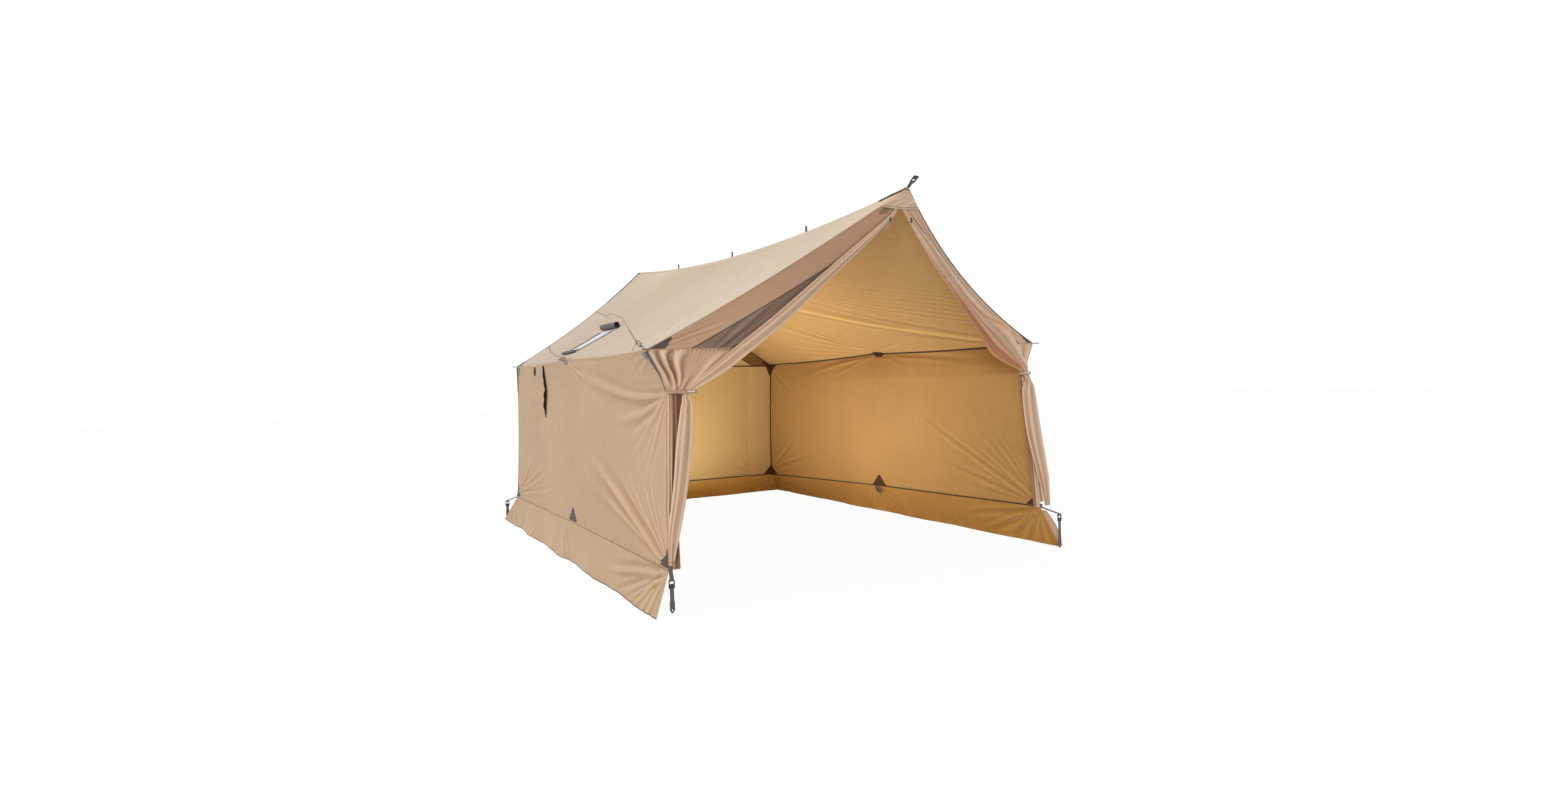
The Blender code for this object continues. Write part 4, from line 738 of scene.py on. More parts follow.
def seam_line(side, shares):
    start, end = seam_corner(side, "front"), seam_corner(side, "back")
    middle = (start + end) / 2 + PULL * np.array(SEAM_MIDDLE_PULLS[side])
    return two_spans(start, middle, end, shares, (0.0, 0.0, 0.0))


def slope_edge(side, end, shares):
    start, stop = peak(end), eave_corner(side, end)
    fall = math.atan2(start[2] - stop[2], EAVE_HALF_WIDTH)
    return sagged(start, stop, shares, (
        -SIDES[side] * math.sin(fall) * SLOPE_EDGE_SAG, -ENDS[end] * SLOPE_EDGE_BOW,
        -math.cos(fall) * SLOPE_EDGE_SAG,
    ))


def corner_edge(side, end, shares):
    start, stop = eave_corner(side, end), seam_corner(side, end)
    t = np.asarray(shares)
    if end == "front":
        pull = FRONT_EDGE_PULL * np.interp(
            t, (0.0, 0.115, 0.183, 0.31, 0.735, 1.0), (0.0, 0.76, 1.0, 0.86, 0.2, 0.0))
    else:
        pull = BACK_EDGE_PULL * 4.0 * t * (1.0 - t)
    line = start + (stop - start) * t[:, None]
    line[:, 0] -= SIDES[side] * pull
    return line


def coons(top, bottom, first, last):
    u = evenly(len(top))[None, :, None]
    v = evenly(len(first))[:, None, None]
    ruled = (1 - v) * top[None] + v * bottom[None]
    across = (1 - u) * first[:, None] + u * last[:, None]
    corners = ((1 - v) * (1 - u) * top[0] + (1 - v) * u * top[-1]
               + v * (1 - u) * bottom[0] + v * u * bottom[-1])
    return ruled + across - corners


LENGTHS = evenly(321)
SLOPES = evenly(121)
DROPS = evenly(25)
CLOTH, SKIRT_CLOTH, MESH_CLOTH, JACK_CLOTH = 0.0014, 0.0012, 0.0008, 0.0016
LINING, ZIP_TAPE = 0.001, 0.0018
S = {}


# Roofs

def hump(x, low, high, soft):
    """1 between two values, fading to 0 over a soft width outside them."""
    up = np.clip((x - low) / soft + 1, 0, 1)
    down = np.clip((high - x) / soft + 1, 0, 1)
    return eased(up) * eased(down)


for side in SIDES:
    roof = Surface(coons(ridge_line(LENGTHS), eave_line(side, LENGTHS),
                         slope_edge(side, "front", SLOPES), slope_edge(side, "back", SLOPES)))
    long, wide = roof.width, roof.length
    by = noise_field(roof.s * 0.8, roof.t * 1.1, 3) * 0.008
    if side == "left":
        # fine wrinkles beside the front edge, fading towards the middle
        near = hump(roof.s, 0.0, 0.30, 0.55) * hump(roof.t, 0.15, 0.95, 0.35)
        by += near * wrinkles(roof, 0.047, 0.0042, 93.0, 11, 0.3)
        by += hump(roof.t, 0.0, 0.10, 0.35) * wrinkles(roof, 0.06, 0.0016, 20.0, 13)
        by += rays(roof, (0.02, wide - 0.02), -78, -30, 5, 0.8, 0.02, 0.003, 15)
        by += rays(roof, (3.5, wide - 0.05), 200, 262, 6, 0.9, 0.018, 0.003, 16)
        by += rays(roof, (1.78, 1.50), 200, 340, 7, 0.5, 0.014, 0.002, 17)
    else:
        # two broad folds drawn between the ridge's middle and the eave, fine ones beside them
        by += folds(roof,
                    ((0.15, 1.54), (2.55, 0.42), 0.050, -0.020, 1.3, 0.02),
                    ((0.15, 1.52), (1.9, 0.50), 0.028, 0.009, 1.5, 0.03),
                    ((0.30, 1.50), (1.6, 1.02), 0.024, -0.008, 1.3, 0.0),
                    ((1.74, 1.50), (2.60, 0.84), 0.018, -0.014, 3.2, 0.01),
                    ((1.75, 1.50), (2.75, 1.02), 0.014, -0.009, 3.2, 0.01),
                    ((1.74, 1.50), (2.45, 0.72), 0.014, -0.007, 3.0, 0.01),
                    ((1.76, 1.51), (3.00, 1.16), 0.014, -0.008, 3.2, 0.01),
                    ((1.76, 1.51), (3.10, 1.32), 0.012, -0.006, 3.0, 0.01),
                    ((1.72, 1.51), (1.10, 1.36), 0.012, -0.006, 2.5, 0.01))
        y = axes(roof, -26.4)[1]
        near = hump(roof.s, 0.25, 1.9, 0.5) * hump(y, 0.98, 1.36, 0.25)
        by += near * wrinkles(roof, 0.047, 0.0028, -25.4, 31, 0.7)
        by += near * wrinkles(roof, 0.031, 0.0013, -26.8, 35, 0.9)
        near = hump(roof.s, 0.3, 1.6, 0.5) * hump(y, 1.42, 1.75, 0.15)
        by += near * wrinkles(roof, 0.043, 0.0024, -24.0, 33, 0.6)
        by += rays(roof, (long - 0.4, wide - 0.08), 195, 262, 7, 1.0, 0.018, 0.004, 36)
    roof.push(by, (0.05, 0.03, 0.03, 0.03))
    # painted highlight: the inner face is made lighter along the ridges of the broad folds
    if side == "right":
        painted_highlight = sum(np.clip(fold(roof, *row) / row[3], 0, 1) * k for k, row in (
            (0.34, ((0.15, 1.54), (2.75, 0.34), 0.040, 1.0, 1.2, 0.02)),
            (0.16, ((0.25, 1.53), (2.1, 0.72), 0.014, 1.0, 1.2, 0.015)),
            (0.32, ((1.74, 1.50), (2.75, 0.80), 0.014, 1.0, 3.0, 0.01)),
            (0.22, ((1.75, 1.50), (2.85, 1.02), 0.012, 1.0, 3.0, 0.01)),
            (0.20, ((1.76, 1.51), (3.10, 1.18), 0.012, 1.0, 3.0, 0.01))))
        roof.tone_in = roof.tone_in * (1.0 + painted_highlight)
    S["roof_" + side] = roof
    shell("roof_cloth_" + side, roof, CLOTH, "roof_out", "roof_in",
          ["roof_panel_" + side])


# Walls

WALL_FOLDS = {
    "left": (
        ((0.01, 0.235), (1.68, 0.03), 0.036, 0.016, 2.0, 0.07),
        ((0.01, 0.225), (1.15, 0.10), 0.022, -0.008, 2.2, 0.05),
        ((0.01, 0.250), (1.02, 0.36), 0.026, 0.013, 2.4, 0.05),
        ((0.01, 0.255), (0.62, 0.50), 0.018, 0.008, 3.0, 0.02),
        ((0.01, 0.260), (0.48, 0.62), 0.016, -0.007, 3.0, 0.01),
        ((0.01, 0.265), (0.34, 0.72), 0.014, 0.007, 3.0, 0.0),
        ((0.01, 0.240), (0.70, 0.24), 0.016, 0.006, 2.6, 0.02),
        ((0.02, 0.02), (0.34, 0.13), 0.010, 0.005, 2.6, 0.0),
        ((0.02, 0.02), (0.42, 0.06), 0.010, 0.004, 2.6, 0.0),
        ((1.70, 0.01), (1.28, 0.16), 0.014, 0.006, 2.8, -0.01),
        ((1.72, 0.01), (1.48, 0.25), 0.012, 0.004, 2.8, 0.0),
        ((0.01, 1.125), (1.50, 0.60), 0.026, 0.021, 2.8, -0.02),
        ((0.01, 1.125), (1.42, 0.80), 0.020, 0.010, 2.8, -0.02),
        ((0.01, 1.120), (0.98, 0.66), 0.018, -0.009, 2.6, 0.0),
        ((0.01, 1.115), (0.66, 0.66), 0.015, 0.008, 2.8, 0.0),
        ((0.01, 1.110), (0.42, 0.62), 0.013, 0.007, 3.0, 0.0),
        ((0.01, 1.105), (0.24, 0.62), 0.011, -0.005, 3.0, 0.0),
        ((3.62, 1.12), (2.60, 0.76), 0.016, 0.008, 3.2, 0.0),
        ((3.62, 1.12), (2.28, 0.78), 0.014, 0.007, 3.2, 0.0),
        ((3.62, 1.12), (2.85, 0.62), 0.014, 0.007, 3.2, 0.0),
        ((3.62, 1.13), (2.05, 0.92), 0.012, 0.005, 3.2, 0.0),
        ((3.60, 0.02), (3.05, 0.40), 0.014, 0.005, 3.0, 0.0),
    ),
    "right": (
        ((0.01, 1.095), (1.22, 0.47), 0.015, 0.010, 2.2, 0.0),
        ((0.01, 1.095), (1.00, 0.83), 0.013, 0.009, 2.2, 0.0),
        ((0.01, 1.090), (0.62, 0.66), 0.013, -0.006, 2.4, 0.0),
        ((0.01, 1.085), (0.40, 0.58), 0.012, 0.005, 2.6, 0.0),
        ((0.01, 1.100), (0.90, 0.97), 0.011, 0.004, 2.4, 0.0),
        ((1.72, 0.015), (0.35, 0.13), 0.018, 0.010, 2.2, 0.035),
        ((1.72, 0.015), (0.55, 0.06), 0.014, -0.006, 2.2, 0.03),
        ((1.74, 0.015), (1.25, 0.13), 0.012, 0.005, 2.4, 0.02),
        ((1.78, 0.015), (3.00, 0.13), 0.018, 0.010, 2.4, -0.035),
        ((1.78, 0.015), (2.45, 0.17), 0.012, 0.005, 2.4, -0.02),
        ((3.62, 1.08), (3.05, 0.72), 0.016, 0.008, 3.0, 0.0),
        ((3.62, 1.08), (2.80, 0.90), 0.014, 0.006, 3.0, 0.0),
        ((3.62, 0.02), (3.10, 0.34), 0.014, 0.005, 3.0, 0.0),
    ),
}
for side in SIDES:
    run, heights = (evenly(k) for k in ((521, 161) if side == "left" else (321, 101)))
    wall = Surface(coons(eave_line(side, run), seam_line(side, run),
                         corner_edge(side, "front", heights), corner_edge(side, "back", heights)))
    by = noise_field(wall.s * 0.9, wall.t * 1.3, 5) * 0.007
    by += folds(wall, *WALL_FOLDS[side]) * (1.15 if side == "left" else 0.9)
    if side == "left":
        by += rays(wall, (0.0, 0.245), -6, 42, 12, 0.75, 0.008, 0.0026, 41, 5.0)
        by += rays(wall, (0.0, 0.250), 42, 86, 9, 0.36, 0.008, 0.0020, 42, 4.0)
        by += rays(wall, (0.01, 1.12), -75, -25, 6, 0.7, 0.012, 0.0022, 44)
        by += rays(wall, (3.62, 1.13), 195, 245, 8, 0.9, 0.012, 0.003, 45)
    else:
        by += rays(wall, (0.01, 1.09), -70, -12, 8, 0.8, 0.008, 0.0022, 46)
    wall.push(by, (0.03, 0.03, 0.008, 0.03))
    S["wall_" + side] = wall
    shell("wall_cloth_" + side, wall, CLOTH, "wall_out", "wall_in",
          ["wall_panel_" + side])


# Skirts

def hem_corner(side, end):
    top = seam_corner(side, end)
    return vec(top[0] + SIDES[side] * SKIRT_SPREAD, top[1] + ENDS[end] * SKIRT_END_SPREAD, 0.0)


def skirt(name, top, corners, outward, ripples, seed, node):
    """A skirt below its seam, with a rippled hem and folds from its corners and its middle."""
    u = evenly(len(top))
    first, last = (sagged(seam_corner(*k), hem_corner(*k), DROPS, 0.0) for k in corners)
    fade = np.sin(u * math.pi) ** 0.5
    wave = np.sin(u * math.pi * ripples) * fade + 0.35 * noise_field(u * 40, u * 0, seed) * fade
    bottom = sagged(first[-1], last[-1], u, 0.0) + np.outer(0.011 * wave, outward)
    v = DROPS[:, None, None]
    belly = 0.018 * 4 * v * (1 - v) * np.sin(u * math.pi)[None, :, None]
    made = Surface(coons(top, bottom, first, last) + belly * np.asarray(outward))
    long = made.width
    by = rays(made, (0.03, 0.01), 8, 80, 9, 0.8, 0.012, 0.006, seed)
    by += rays(made, (long - 0.03, 0.01), 100, 172, 8, 0.7, 0.012, 0.005, seed + 1)
    by += rays(made, (long / 2, 0.01), 30, 150, 5, 0.4, 0.016, 0.002, seed + 2)
    by += noise_field(made.s * 7, made.t * 5, seed + 3) * 0.004 * DROPS[:, None]
    by += folds(made, ((0.02, 0.02), (0.90, 0.150), 0.020, 0.014, 1.8),
                ((0.02, 0.03), (0.70, 0.225), 0.016, -0.012, 1.8),
                ((0.02, 0.04), (0.42, 0.240), 0.012, 0.008, 1.8),
                ((long - 0.02, 0.02), (long - 0.55, 0.18), 0.014, 0.010, 1.8),
                ((long / 2, 0.02), (long / 2 - 0.28, 0.24), 0.012, 0.006, 2.0),
                ((long / 2, 0.02), (long / 2 + 0.22, 0.24), 0.012, 0.006, 2.0))
    made.push(by, (0.03, 0.0, 0.03, 0.03))
    made.grid[..., 2] = np.maximum(made.grid[..., 2], 0.0008)
    # painted light: the back skirt's inner face is made lighter
    if name == "skirt_back":
        made.tone_in = made.tone_in * 1.35
    S[name] = made
    shell(name + "_cloth", made, SKIRT_CLOTH, "skirt_out", "skirt_in", [node])
    tube(name + "_hem", made.grid[-1] + vec(0, 0, 0.003), 0.0015, "dark_trim", 6)


for side in SIDES:
    skirt("skirt_" + side, seam_line(side, LENGTHS), [(side, "front"), (side, "back")],
          (SIDES[side], 0.0, 0.0), 9, 61 if side == "left" else 71, "snow_skirt_" + side)


# Gables

def gable_rows(end, slopes, heights):
    return [
        np.concatenate([slope_edge(side, end, slopes)[1:], corner_edge(side, end, heights)[1:]])
        for side in SIDES
    ]


def between(first, last, share):
    return first + (last - first) * share


GABLE_SLOPES = evenly(71)
GABLE_HEIGHTS = evenly(81)
SLOPE_ROWS = len(GABLE_SLOPES) - 1
ZIP_WIDTH = 0.024


def band_share(width, half):
    return min(width / (2 * half), 0.44)


left_rows, right_rows = gable_rows("back", GABLE_SLOPES, GABLE_HEIGHTS)
bands_of, leaves_of, zip_rows = {"left": [], "right": []}, {"left": [], "right": []}, []
for first, last in zip(left_rows, right_rows):
    half = np.linalg.norm(last - first) / 2
    edge = band_share(0.24, half)
    middle = 0.5 - min(ZIP_WIDTH / (4 * half), 0.03)
    for side, a, b in (("left", first, last), ("right", last, first)):
        bands_of[side].append([between(a, b, edge * s) for s in evenly(17)])
        leaves_of[side].append(
            [between(a, b, edge + (middle - edge) * s) for s in evenly(81)])
    zip_rows.append([between(first, last, s) for s in np.linspace(middle, 1 - middle, 5)])
for side in SIDES:
    band = Surface(bands_of[side])
    band.push(noise_field(band.s * 3, band.t * 2, 81) * 0.003, (0.02, 0.02, 0.01, 0.01))
    S["back_band_" + side] = band
    shell("back_band_cloth_" + side, band, CLOTH, "band_out", "band_in",
          ["back_gable_band_" + side], low=("back_in", np.arange(len(band.s) - 1) >= SLOPE_ROWS))
    leaf_back = Surface(leaves_of[side])
    by = noise_field(leaf_back.s * 1.6, leaf_back.t * 1.2, 83) * 0.005
    by += rays(leaf_back, (0.0, leaf_back.length - 0.02), -80, -40, 5, 0.5, 0.012, 0.0015, 85)
    leaf_back.push(by, (0.02, 0.03, 0.02, 0.02))
    S["back_leaf_" + side] = leaf_back
    shell("back_leaf_cloth_" + side, leaf_back, CLOTH, "wall_out", "back_in",
          ["back_door_leaf_" + side])
S["back_zip"] = Surface(zip_rows)
shell("back_zip_tape", S["back_zip"], ZIP_TAPE, "zip", "zip", ["back_zip"])

back_top = np.concatenate([
    S["back_band_left"].grid[-1], S["back_leaf_left"].grid[-1][1:],
    S["back_leaf_right"].grid[-1][::-1], S["back_band_right"].grid[-1][::-1][1:]])
skirt("skirt_back", respaced(back_top, 241), [("left", "back"), ("right", "back")],
      (0.0, 1.0, 0.0), 7, 75, "snow_skirt_back")


# Front bands, mesh and gathered strips

front_edges = dict(zip(SIDES, gable_rows("front", GABLE_SLOPES, GABLE_HEIGHTS)))
LEAF_RINGS, LEAF_POINTS, LEAF_LOBES = 200, 170, 5
LEAF_CLOTH = 0.0012
LEAF_HALF_WIDTH, LEAF_HALF_DEPTH = 0.034, 0.024
LEAF_PATHS = {
    "left": (
        (0.992, 0.560), (0.974, 0.520), (0.841, 0.388), (0.553, 0.130), (0.299, -0.053),
        (0.121, -0.165), (0.106, -0.222), (0.088, -0.356), (0.062, -0.519), (0.026, -0.694),
        (0.014, -0.800),
    ),
    "right": (
        (0.972, 0.560), (0.918, 0.522), (0.719, 0.385), (0.523, 0.248), (0.360, 0.126),
        (0.205, 0.015), (0.068, -0.139), (0.064, -0.222), (0.042, -0.415), (0.002, -0.600),
        (-0.040, -0.790),
    ),
}
LEAF_WIDTHS = {
    "left": (0.2, 0.3, 0.62, 1.0, 1.0, 0.40, 0.80, 1.12, 1.05, 0.85, 0.40),
    "right": (0.2, 0.32, 0.85, 1.10, 1.75, 3.10, 0.50, 1.30, 1.55, 1.15, 0.50),
}
LEAF_TIES = {"left": 5 / 10, "right": 6 / 10}
LEAF_ROLLED = {"left": 0.0, "right": 1.0}
STRIP_FOLD, STRIP_WIDTH, TIE_SHARE = 0.009, 0.062, 0.183
BAND_WIDTHS = {"left": 0.24, "right": 0.11}
MESH_TOP_ROW = 19


def leaf_core(side):
    wide = np.array(LEAF_PATHS[side]) * (EAVE_HALF_WIDTH, EAVE_HEIGHT)
    x = SIDES[side] * (EAVE_HALF_WIDTH - wide[:, 0])
    core = smooth_line(np.stack([x, EAVE_HEIGHT + wide[:, 1]], axis=1), LEAF_RINGS)
    shares = smooth_line(np.array(LEAF_WIDTHS[side])[:, None], LEAF_RINGS)[:, 0]
    return core, LEAF_HALF_WIDTH * shares, LEAF_HALF_DEPTH * np.clip(shares, 0.0, 1.0)


LEAF_CORES = {side: leaf_core(side) for side in SIDES}


def core_x(side, height):
    core = LEAF_CORES[side][0]
    return float(np.interp(-height, -core[:, 1], core[:, 0]))


COLUMNS = 91
STRIP_PLEATS = {
    "left": ((0.03, 0.025, 0.006), (0.10, 0.030, -0.016), (0.17, 0.030, 0.016),
             (0.25, 0.035, -0.020), (0.36, 0.055, 0.022), (0.62, 0.16, -0.012),
             (0.85, 0.05, 0.006)),
    "right": ((0.10, 0.05, 0.010), (0.30, 0.07, -0.010), (0.52, 0.08, 0.012), (0.8, 0.1, -0.006)),
}


def strip(side, top):
    """The corner's gathered cloth, drawn together at the tie and hanging straight below it."""
    top = respaced(np.array(top), COLUMNS)
    x = evenly(COLUMNS)
    fold_line = STRIP_FOLD * (0.5 - 0.5 * np.cos(math.tau * 3 * x))
    heights = np.r_[np.linspace(0, 0.22, 76)[1:], np.linspace(0.22, 1, 76)[1:]]
    deep_folds = sum(h * bell(x, c, w) for c, w, h in STRIP_PLEATS[side])
    rows, deeps = [top], [np.zeros(COLUMNS)]
    for share, edge in zip(heights, corner_edge(side, "front", heights)):
        gathered = min(share / TIE_SHARE, 1.0)
        late = min(max((share - TIE_SHARE - 0.007) / 0.007 + 0.5, 0.0), 1.0)
        across = max(abs(core_x(side, edge[2]) - edge[0]), STRIP_WIDTH)
        wide = across * (1 - late) + STRIP_WIDTH * late
        reach = np.abs(top[:, 0] - top[0][0])
        reach = reach / reach[-1]
        reach = (reach + (reach**0.45 - reach) * 0.75 * gathered**2.2 * (1 - late)) * wide
        deep = fold_line * gathered
        if gathered < 1:
            bent = math.sin(math.pi * gathered**0.8) ** 0.8
            lean = 0.10 * math.sin(math.pi * gathered) * x * (1 - x) * 4
            deep = deep + bent * np.interp(x + lean, x, deep_folds) * min(1.0, wide / 0.12)
            tucks = np.exp(-gathered / 0.10) * (1 - np.exp(-gathered / 0.015)) * 0.004
            deep = deep + tucks * np.sin(math.tau * (17 * x + 3 * x * x)) * (x > 0.25)
        else:
            low = (share - TIE_SHARE) / (1 - TIE_SHARE)
            ripple = np.sin(math.tau * (2 * x + low * 1.2)) * math.sin(math.pi * low)
            deep = deep + 0.003 * ripple
        deeps.append(deep)
        rows.append(np.array([edge + vec(-SIDES[side] * r, -f, 0.0) for r, f in zip(reach, deep)]))
    made = Surface(rows)
    if made.normals[..., 1].mean() > 0:
        made.turned()
    deeps = np.array(deeps)
    # painted shade in the pleats' hollows and a painted highlight on their ridges
    level = [np.convolve(np.pad(row, 9, "edge"), np.ones(19) / 19, "valid") for row in deeps]
    made.tone = 1.0 + np.clip((deeps - np.array(level)) * 75.0, -0.50, 0.22)
    S["strip_" + side] = made
    # painted shade: below the tie the strip's inner columns take the dark rust cloth, as the shaded
    # hollow beside the drape
    rows_low = np.arange(len(rows) - 1) > 64
    inner_columns = np.arange(COLUMNS - 1) > (0.42 if side == "left" else 0.6) * COLUMNS
    shell("front_strip_cloth_" + side, made, LEAF_CLOTH, "satin", "satin_in",
          ["front_wall_strip_" + side], (0.3, 1.16),
          spots=("rust", np.outer(rows_low, inner_columns)))


for side, other in (("left", "right"), ("right", "left")):
    rows, mesh_rows = [], []
    for i, (a, b) in enumerate(zip(front_edges[side][:SLOPE_ROWS], front_edges[other])):
        length = np.linalg.norm(b - a)
        edge = band_share(BAND_WIDTHS[side], length / 2)
        rows.append([between(a, b, edge * s) for s in evenly(21)])
        if i >= MESH_TOP_ROW:
            inner = (core_x(side, a[2]) - a[0]) / (b[0] - a[0])
            inner = max(inner - 0.014 / length, edge + 0.006 / length)
            mesh_rows.append(
                [between(a, b, edge + (inner - edge) * s) for s in evenly(31)])
    band = Surface(rows)
    w, l = band.width, band.length
    by = noise_field(band.s * 4, band.t * 1.5, 91) * 0.003
    by += rays(band, (0.01, l - 0.01), -100, -60, 4, 0.5, 0.012, 0.004, 92)
    if side == "right":
        by += folds(band, ((w * 0.5, l * 0.06), (w * 0.62, l * 0.55), 0.018, 0.010, 1.0, 0.01),
                    ((w * 0.55, l * 0.5), (w * 0.45, l * 0.98), 0.020, 0.010, 1.0, -0.01),
                    ((w * 0.2, l * 0.97), (w * 0.55, l * 0.6), 0.008, 0.006, 2.0))
    else:
        by += rays(band, (0.01, l - 0.01), -75, -12, 6, 0.22, 0.006, 0.004, 94)
    band.push(by, (0.02, 0.02, 0.01, 0.02))
    S["front_band_" + side] = band
    shell("front_band_cloth_" + side, band, CLOTH, "band_out" if side == "left" else "satin",
          "band_in", ["front_gable_band_" + side])
    if side == "left":
        mesh = Surface(mesh_rows)
        by = rays(mesh, (mesh.width * 0.7, mesh.length), -130, -70, 5, 0.9, 0.018, 0.006, 93)
        mesh.push(by, (0.03, 0.02, 0.02, 0.02))
        S["front_mesh"] = mesh
        shell("front_mesh_cloth", mesh, MESH_CLOTH, "mesh", "mesh",
              ["front_mesh_left"])
    strip(side, rows[-1] + mesh_rows[-1][1:] if side == "left" else rows[-1])


def front_y(x, height):
    """How far forward the folded front reaches at a place across it and a height."""
    (left_x, left_y), (right_x, right_y) = (
        [np.interp(-height, -front_edges[side][:, 2], front_edges[side][:, i]) for i in (0, 1)]
        for side in SIDES
    )
    y = left_y + (right_y - left_y) * (x - left_x) / (right_x - left_x)
    side = "left" if x < 0.0 else "right"
    eave, tie = eave_corner(side, "front")[2], front_edges[side][SLOPE_ROWS + 14][2]
    return y - STRIP_FOLD * np.clip((eave - height) / (eave - tie), 0.0, 1.0) - LEAF_CLOTH


def leaf_section(side, i, share, width, turns, inner):
    """A ring of a leaf: its waves, its flatness, its painted light and shade, and its painted warm
    crease shade.
    """
    # a spiral section: the outer turn carries soft folds that wander down the leaf
    drift = 0.5 * math.sin(i * 0.035) + 0.010 * i
    depth = 0.24 + 0.06 * np.clip((share - LEAF_TIES[side]) / 0.12, 0, 1)
    wave = 1.0 + depth * (0.72 * np.cos(LEAF_LOBES * turns + drift)
                          + 0.30 * np.cos(2 * LEAF_LOBES * turns + 1.3 * drift + 0.8))
    wave += 0.05 * np.cos(2.3 * turns - i * 0.06)
    wave += 0.035 * np.clip(width / LEAF_HALF_WIDTH - 1.2, 0, 1) * np.cos(19 * turns + 0.05 * i)
    # painted light and shade: the outward lobes lighter, the hollows between them darker
    tone = 1.0 + 1.5 * (wave - 1.0)
    # the right leaf is flat towards the slope, with a narrow roll along its inner edge
    rolled = LEAF_ROLLED[side] * np.clip((LEAF_TIES[side] - share) / 0.06, 0, 1)
    rolled = rolled * np.clip((width - 0.024) / 0.02, 0, 1)
    flatness = 1 - rolled * (0.62 / (1 + np.exp((inner - 0.30) / 0.05))
                             + 0.20 * bell(inner, 0.30, 0.09))
    # painted light and shade: stripes across the pleats, painted shade along the roll's crease and
    # a fold line, and a painted highlight beside that line
    slant = 16.0 * inner + 0.16 * i
    pleat = 0.10 * rolled * np.cos(slant + 0.8 * np.sin(0.4 * slant)) * (inner < 0.25)
    crease = bell(inner, 0.22, 0.09)
    slide = np.clip((share / LEAF_TIES[side] - 0.30) / 0.62, 0, 1)
    fold_at = inner - 0.10 + 1.0 * slide
    line, painted_highlight = (bell(fold_at, place, 0.13) * np.sin(math.pi * slide) ** 0.5
                 for place in (0.0, -0.26))
    tone = tone * (1 - rolled * (0.30 * crease + 0.12 * line - 0.10 * painted_highlight)) + pleat
    # the last value, the painted crease shade, is tinted brown in leaf()
    return (wave * (1.0 - 0.16 * (turns / turns[-1])), flatness, tone,
            rolled * np.maximum(0.75 * crease, 0.85 * line))


def leaf(side):
    """A door leaf rolled and drawn up into folds, pinched at its tie and draped below it."""
    core, half_width, half_depth = LEAF_CORES[side]
    share = evenly(LEAF_RINGS)
    turns = evenly(LEAF_POINTS) * math.pi * 2.9
    grid, tones, painted_crease_shades = [], [], []
    for i, (place, way) in enumerate(zip(core, np.gradient(core, axis=0))):
        way = unit(way)
        across = vec(way[1], 0.0, -way[0])
        rise = front_y(place[0], place[1] + 0.002) - front_y(place[0], place[1] - 0.002)
        out = unit(vec(0.0, -0.004, rise))
        flat_way = unit(across - out * (across @ out))
        inner = -SIDES[side] * np.cos(turns) * np.sign(flat_way[0])
        # tone: painted light and shade of this ring; rust: its painted crease shade
        wave, flatness, tone, rust = leaf_section(side, i, share[i], half_width[i], turns, inner)
        section = (np.outer(half_width[i] * np.cos(turns) * wave, flat_way)
                   + np.outer(half_depth[i] * np.sin(turns) * wave * flatness, out))
        points = section + vec(place[0], front_y(*place), place[1])
        at_tie = np.clip(3 - abs(i - LEAF_TIES[side] * (LEAF_RINGS - 1)) / 7, 0, 2) / 2
        stand = 0.0006 + at_tie * 0.0052
        over = max(p[1] - (front_y(p[0], p[2]) - stand) for p in points[::6])
        grid.append(points + vec(0.0, -over, 0.0))
        tones.append(tone)
        painted_crease_shades.append(rust)
    made = Surface(grid, True)
    # browner towards the leaf's inner side above the tie; the painted crease shade is browned the
    # same way
    inward = (core[:, None, 0] - made.grid[:, :, 0]) * SIDES[side] / half_width[:, None]
    low, strength = (0.0, 1.0) if side == "right" else (0.45, 0.5)
    brown_and_crease_shade = np.clip((inward - low) / 0.35, 0, 1) * strength
    brown_and_crease_shade = brown_and_crease_shade * np.clip((LEAF_TIES[side] - share[:, None]) / 0.03, 0, 1)
    brown_and_crease_shade = brown_and_crease_shade * np.clip((half_width[:, None] - 0.022) / 0.02, 0, 1)
    brown_and_crease_shade = np.maximum(brown_and_crease_shade, np.array(painted_crease_shades))[..., None]
    # painted light and shade of the leaf's folds, browned where the mask says
    made.tone = np.clip(np.array(tones), 0.55, 1.22)[..., None] * (
        1 - brown_and_crease_shade * (1 - vec(0.70, 0.50, 0.40)))
    middle = made.grid.mean(axis=1, keepdims=True)
    if ((made.grid - middle) * made.normals)[:, :60].sum() < 0:
        made.turned()
    shell("front_leaf_cloth_" + side, made, LEAF_CLOTH, "satin", "satin_in",
          ["front_door_leaf_" + side], (0.5, 2.3))
    # the leaf's inner face, seen in the gap between the corner's strip and the drape, its outer
    # side in the dark rust cloth, which is partly painted shade of that gap
    rows, edge = [], front_edges[side]
    u = np.linspace(0.15, 1.0, 24)
    tie = np.interp(LEAF_TIES[side], share, core[:, 1])
    for k, z in enumerate(np.linspace(tie - 0.012, core[-1, 1] + 0.02, 70)):
        x, y = (np.interp(-z, -edge[:, 2], edge[:, i]) for i in (0, 1))
        ruck = 0.004 * np.sin(math.tau * (2.3 * u + k * 0.012))
        ruck = ruck * math.sin(math.pi * (k + 1) / 71)
        rows.append(np.stack([x + (core_x(side, z) - x) * u, y + 0.007 + ruck, 0 * u + z], 1))
    shell("front_leaf_lining_" + side, Surface(rows), LINING, "rust", "satin_in")


for side in SIDES:
    leaf(side)


# Hoods

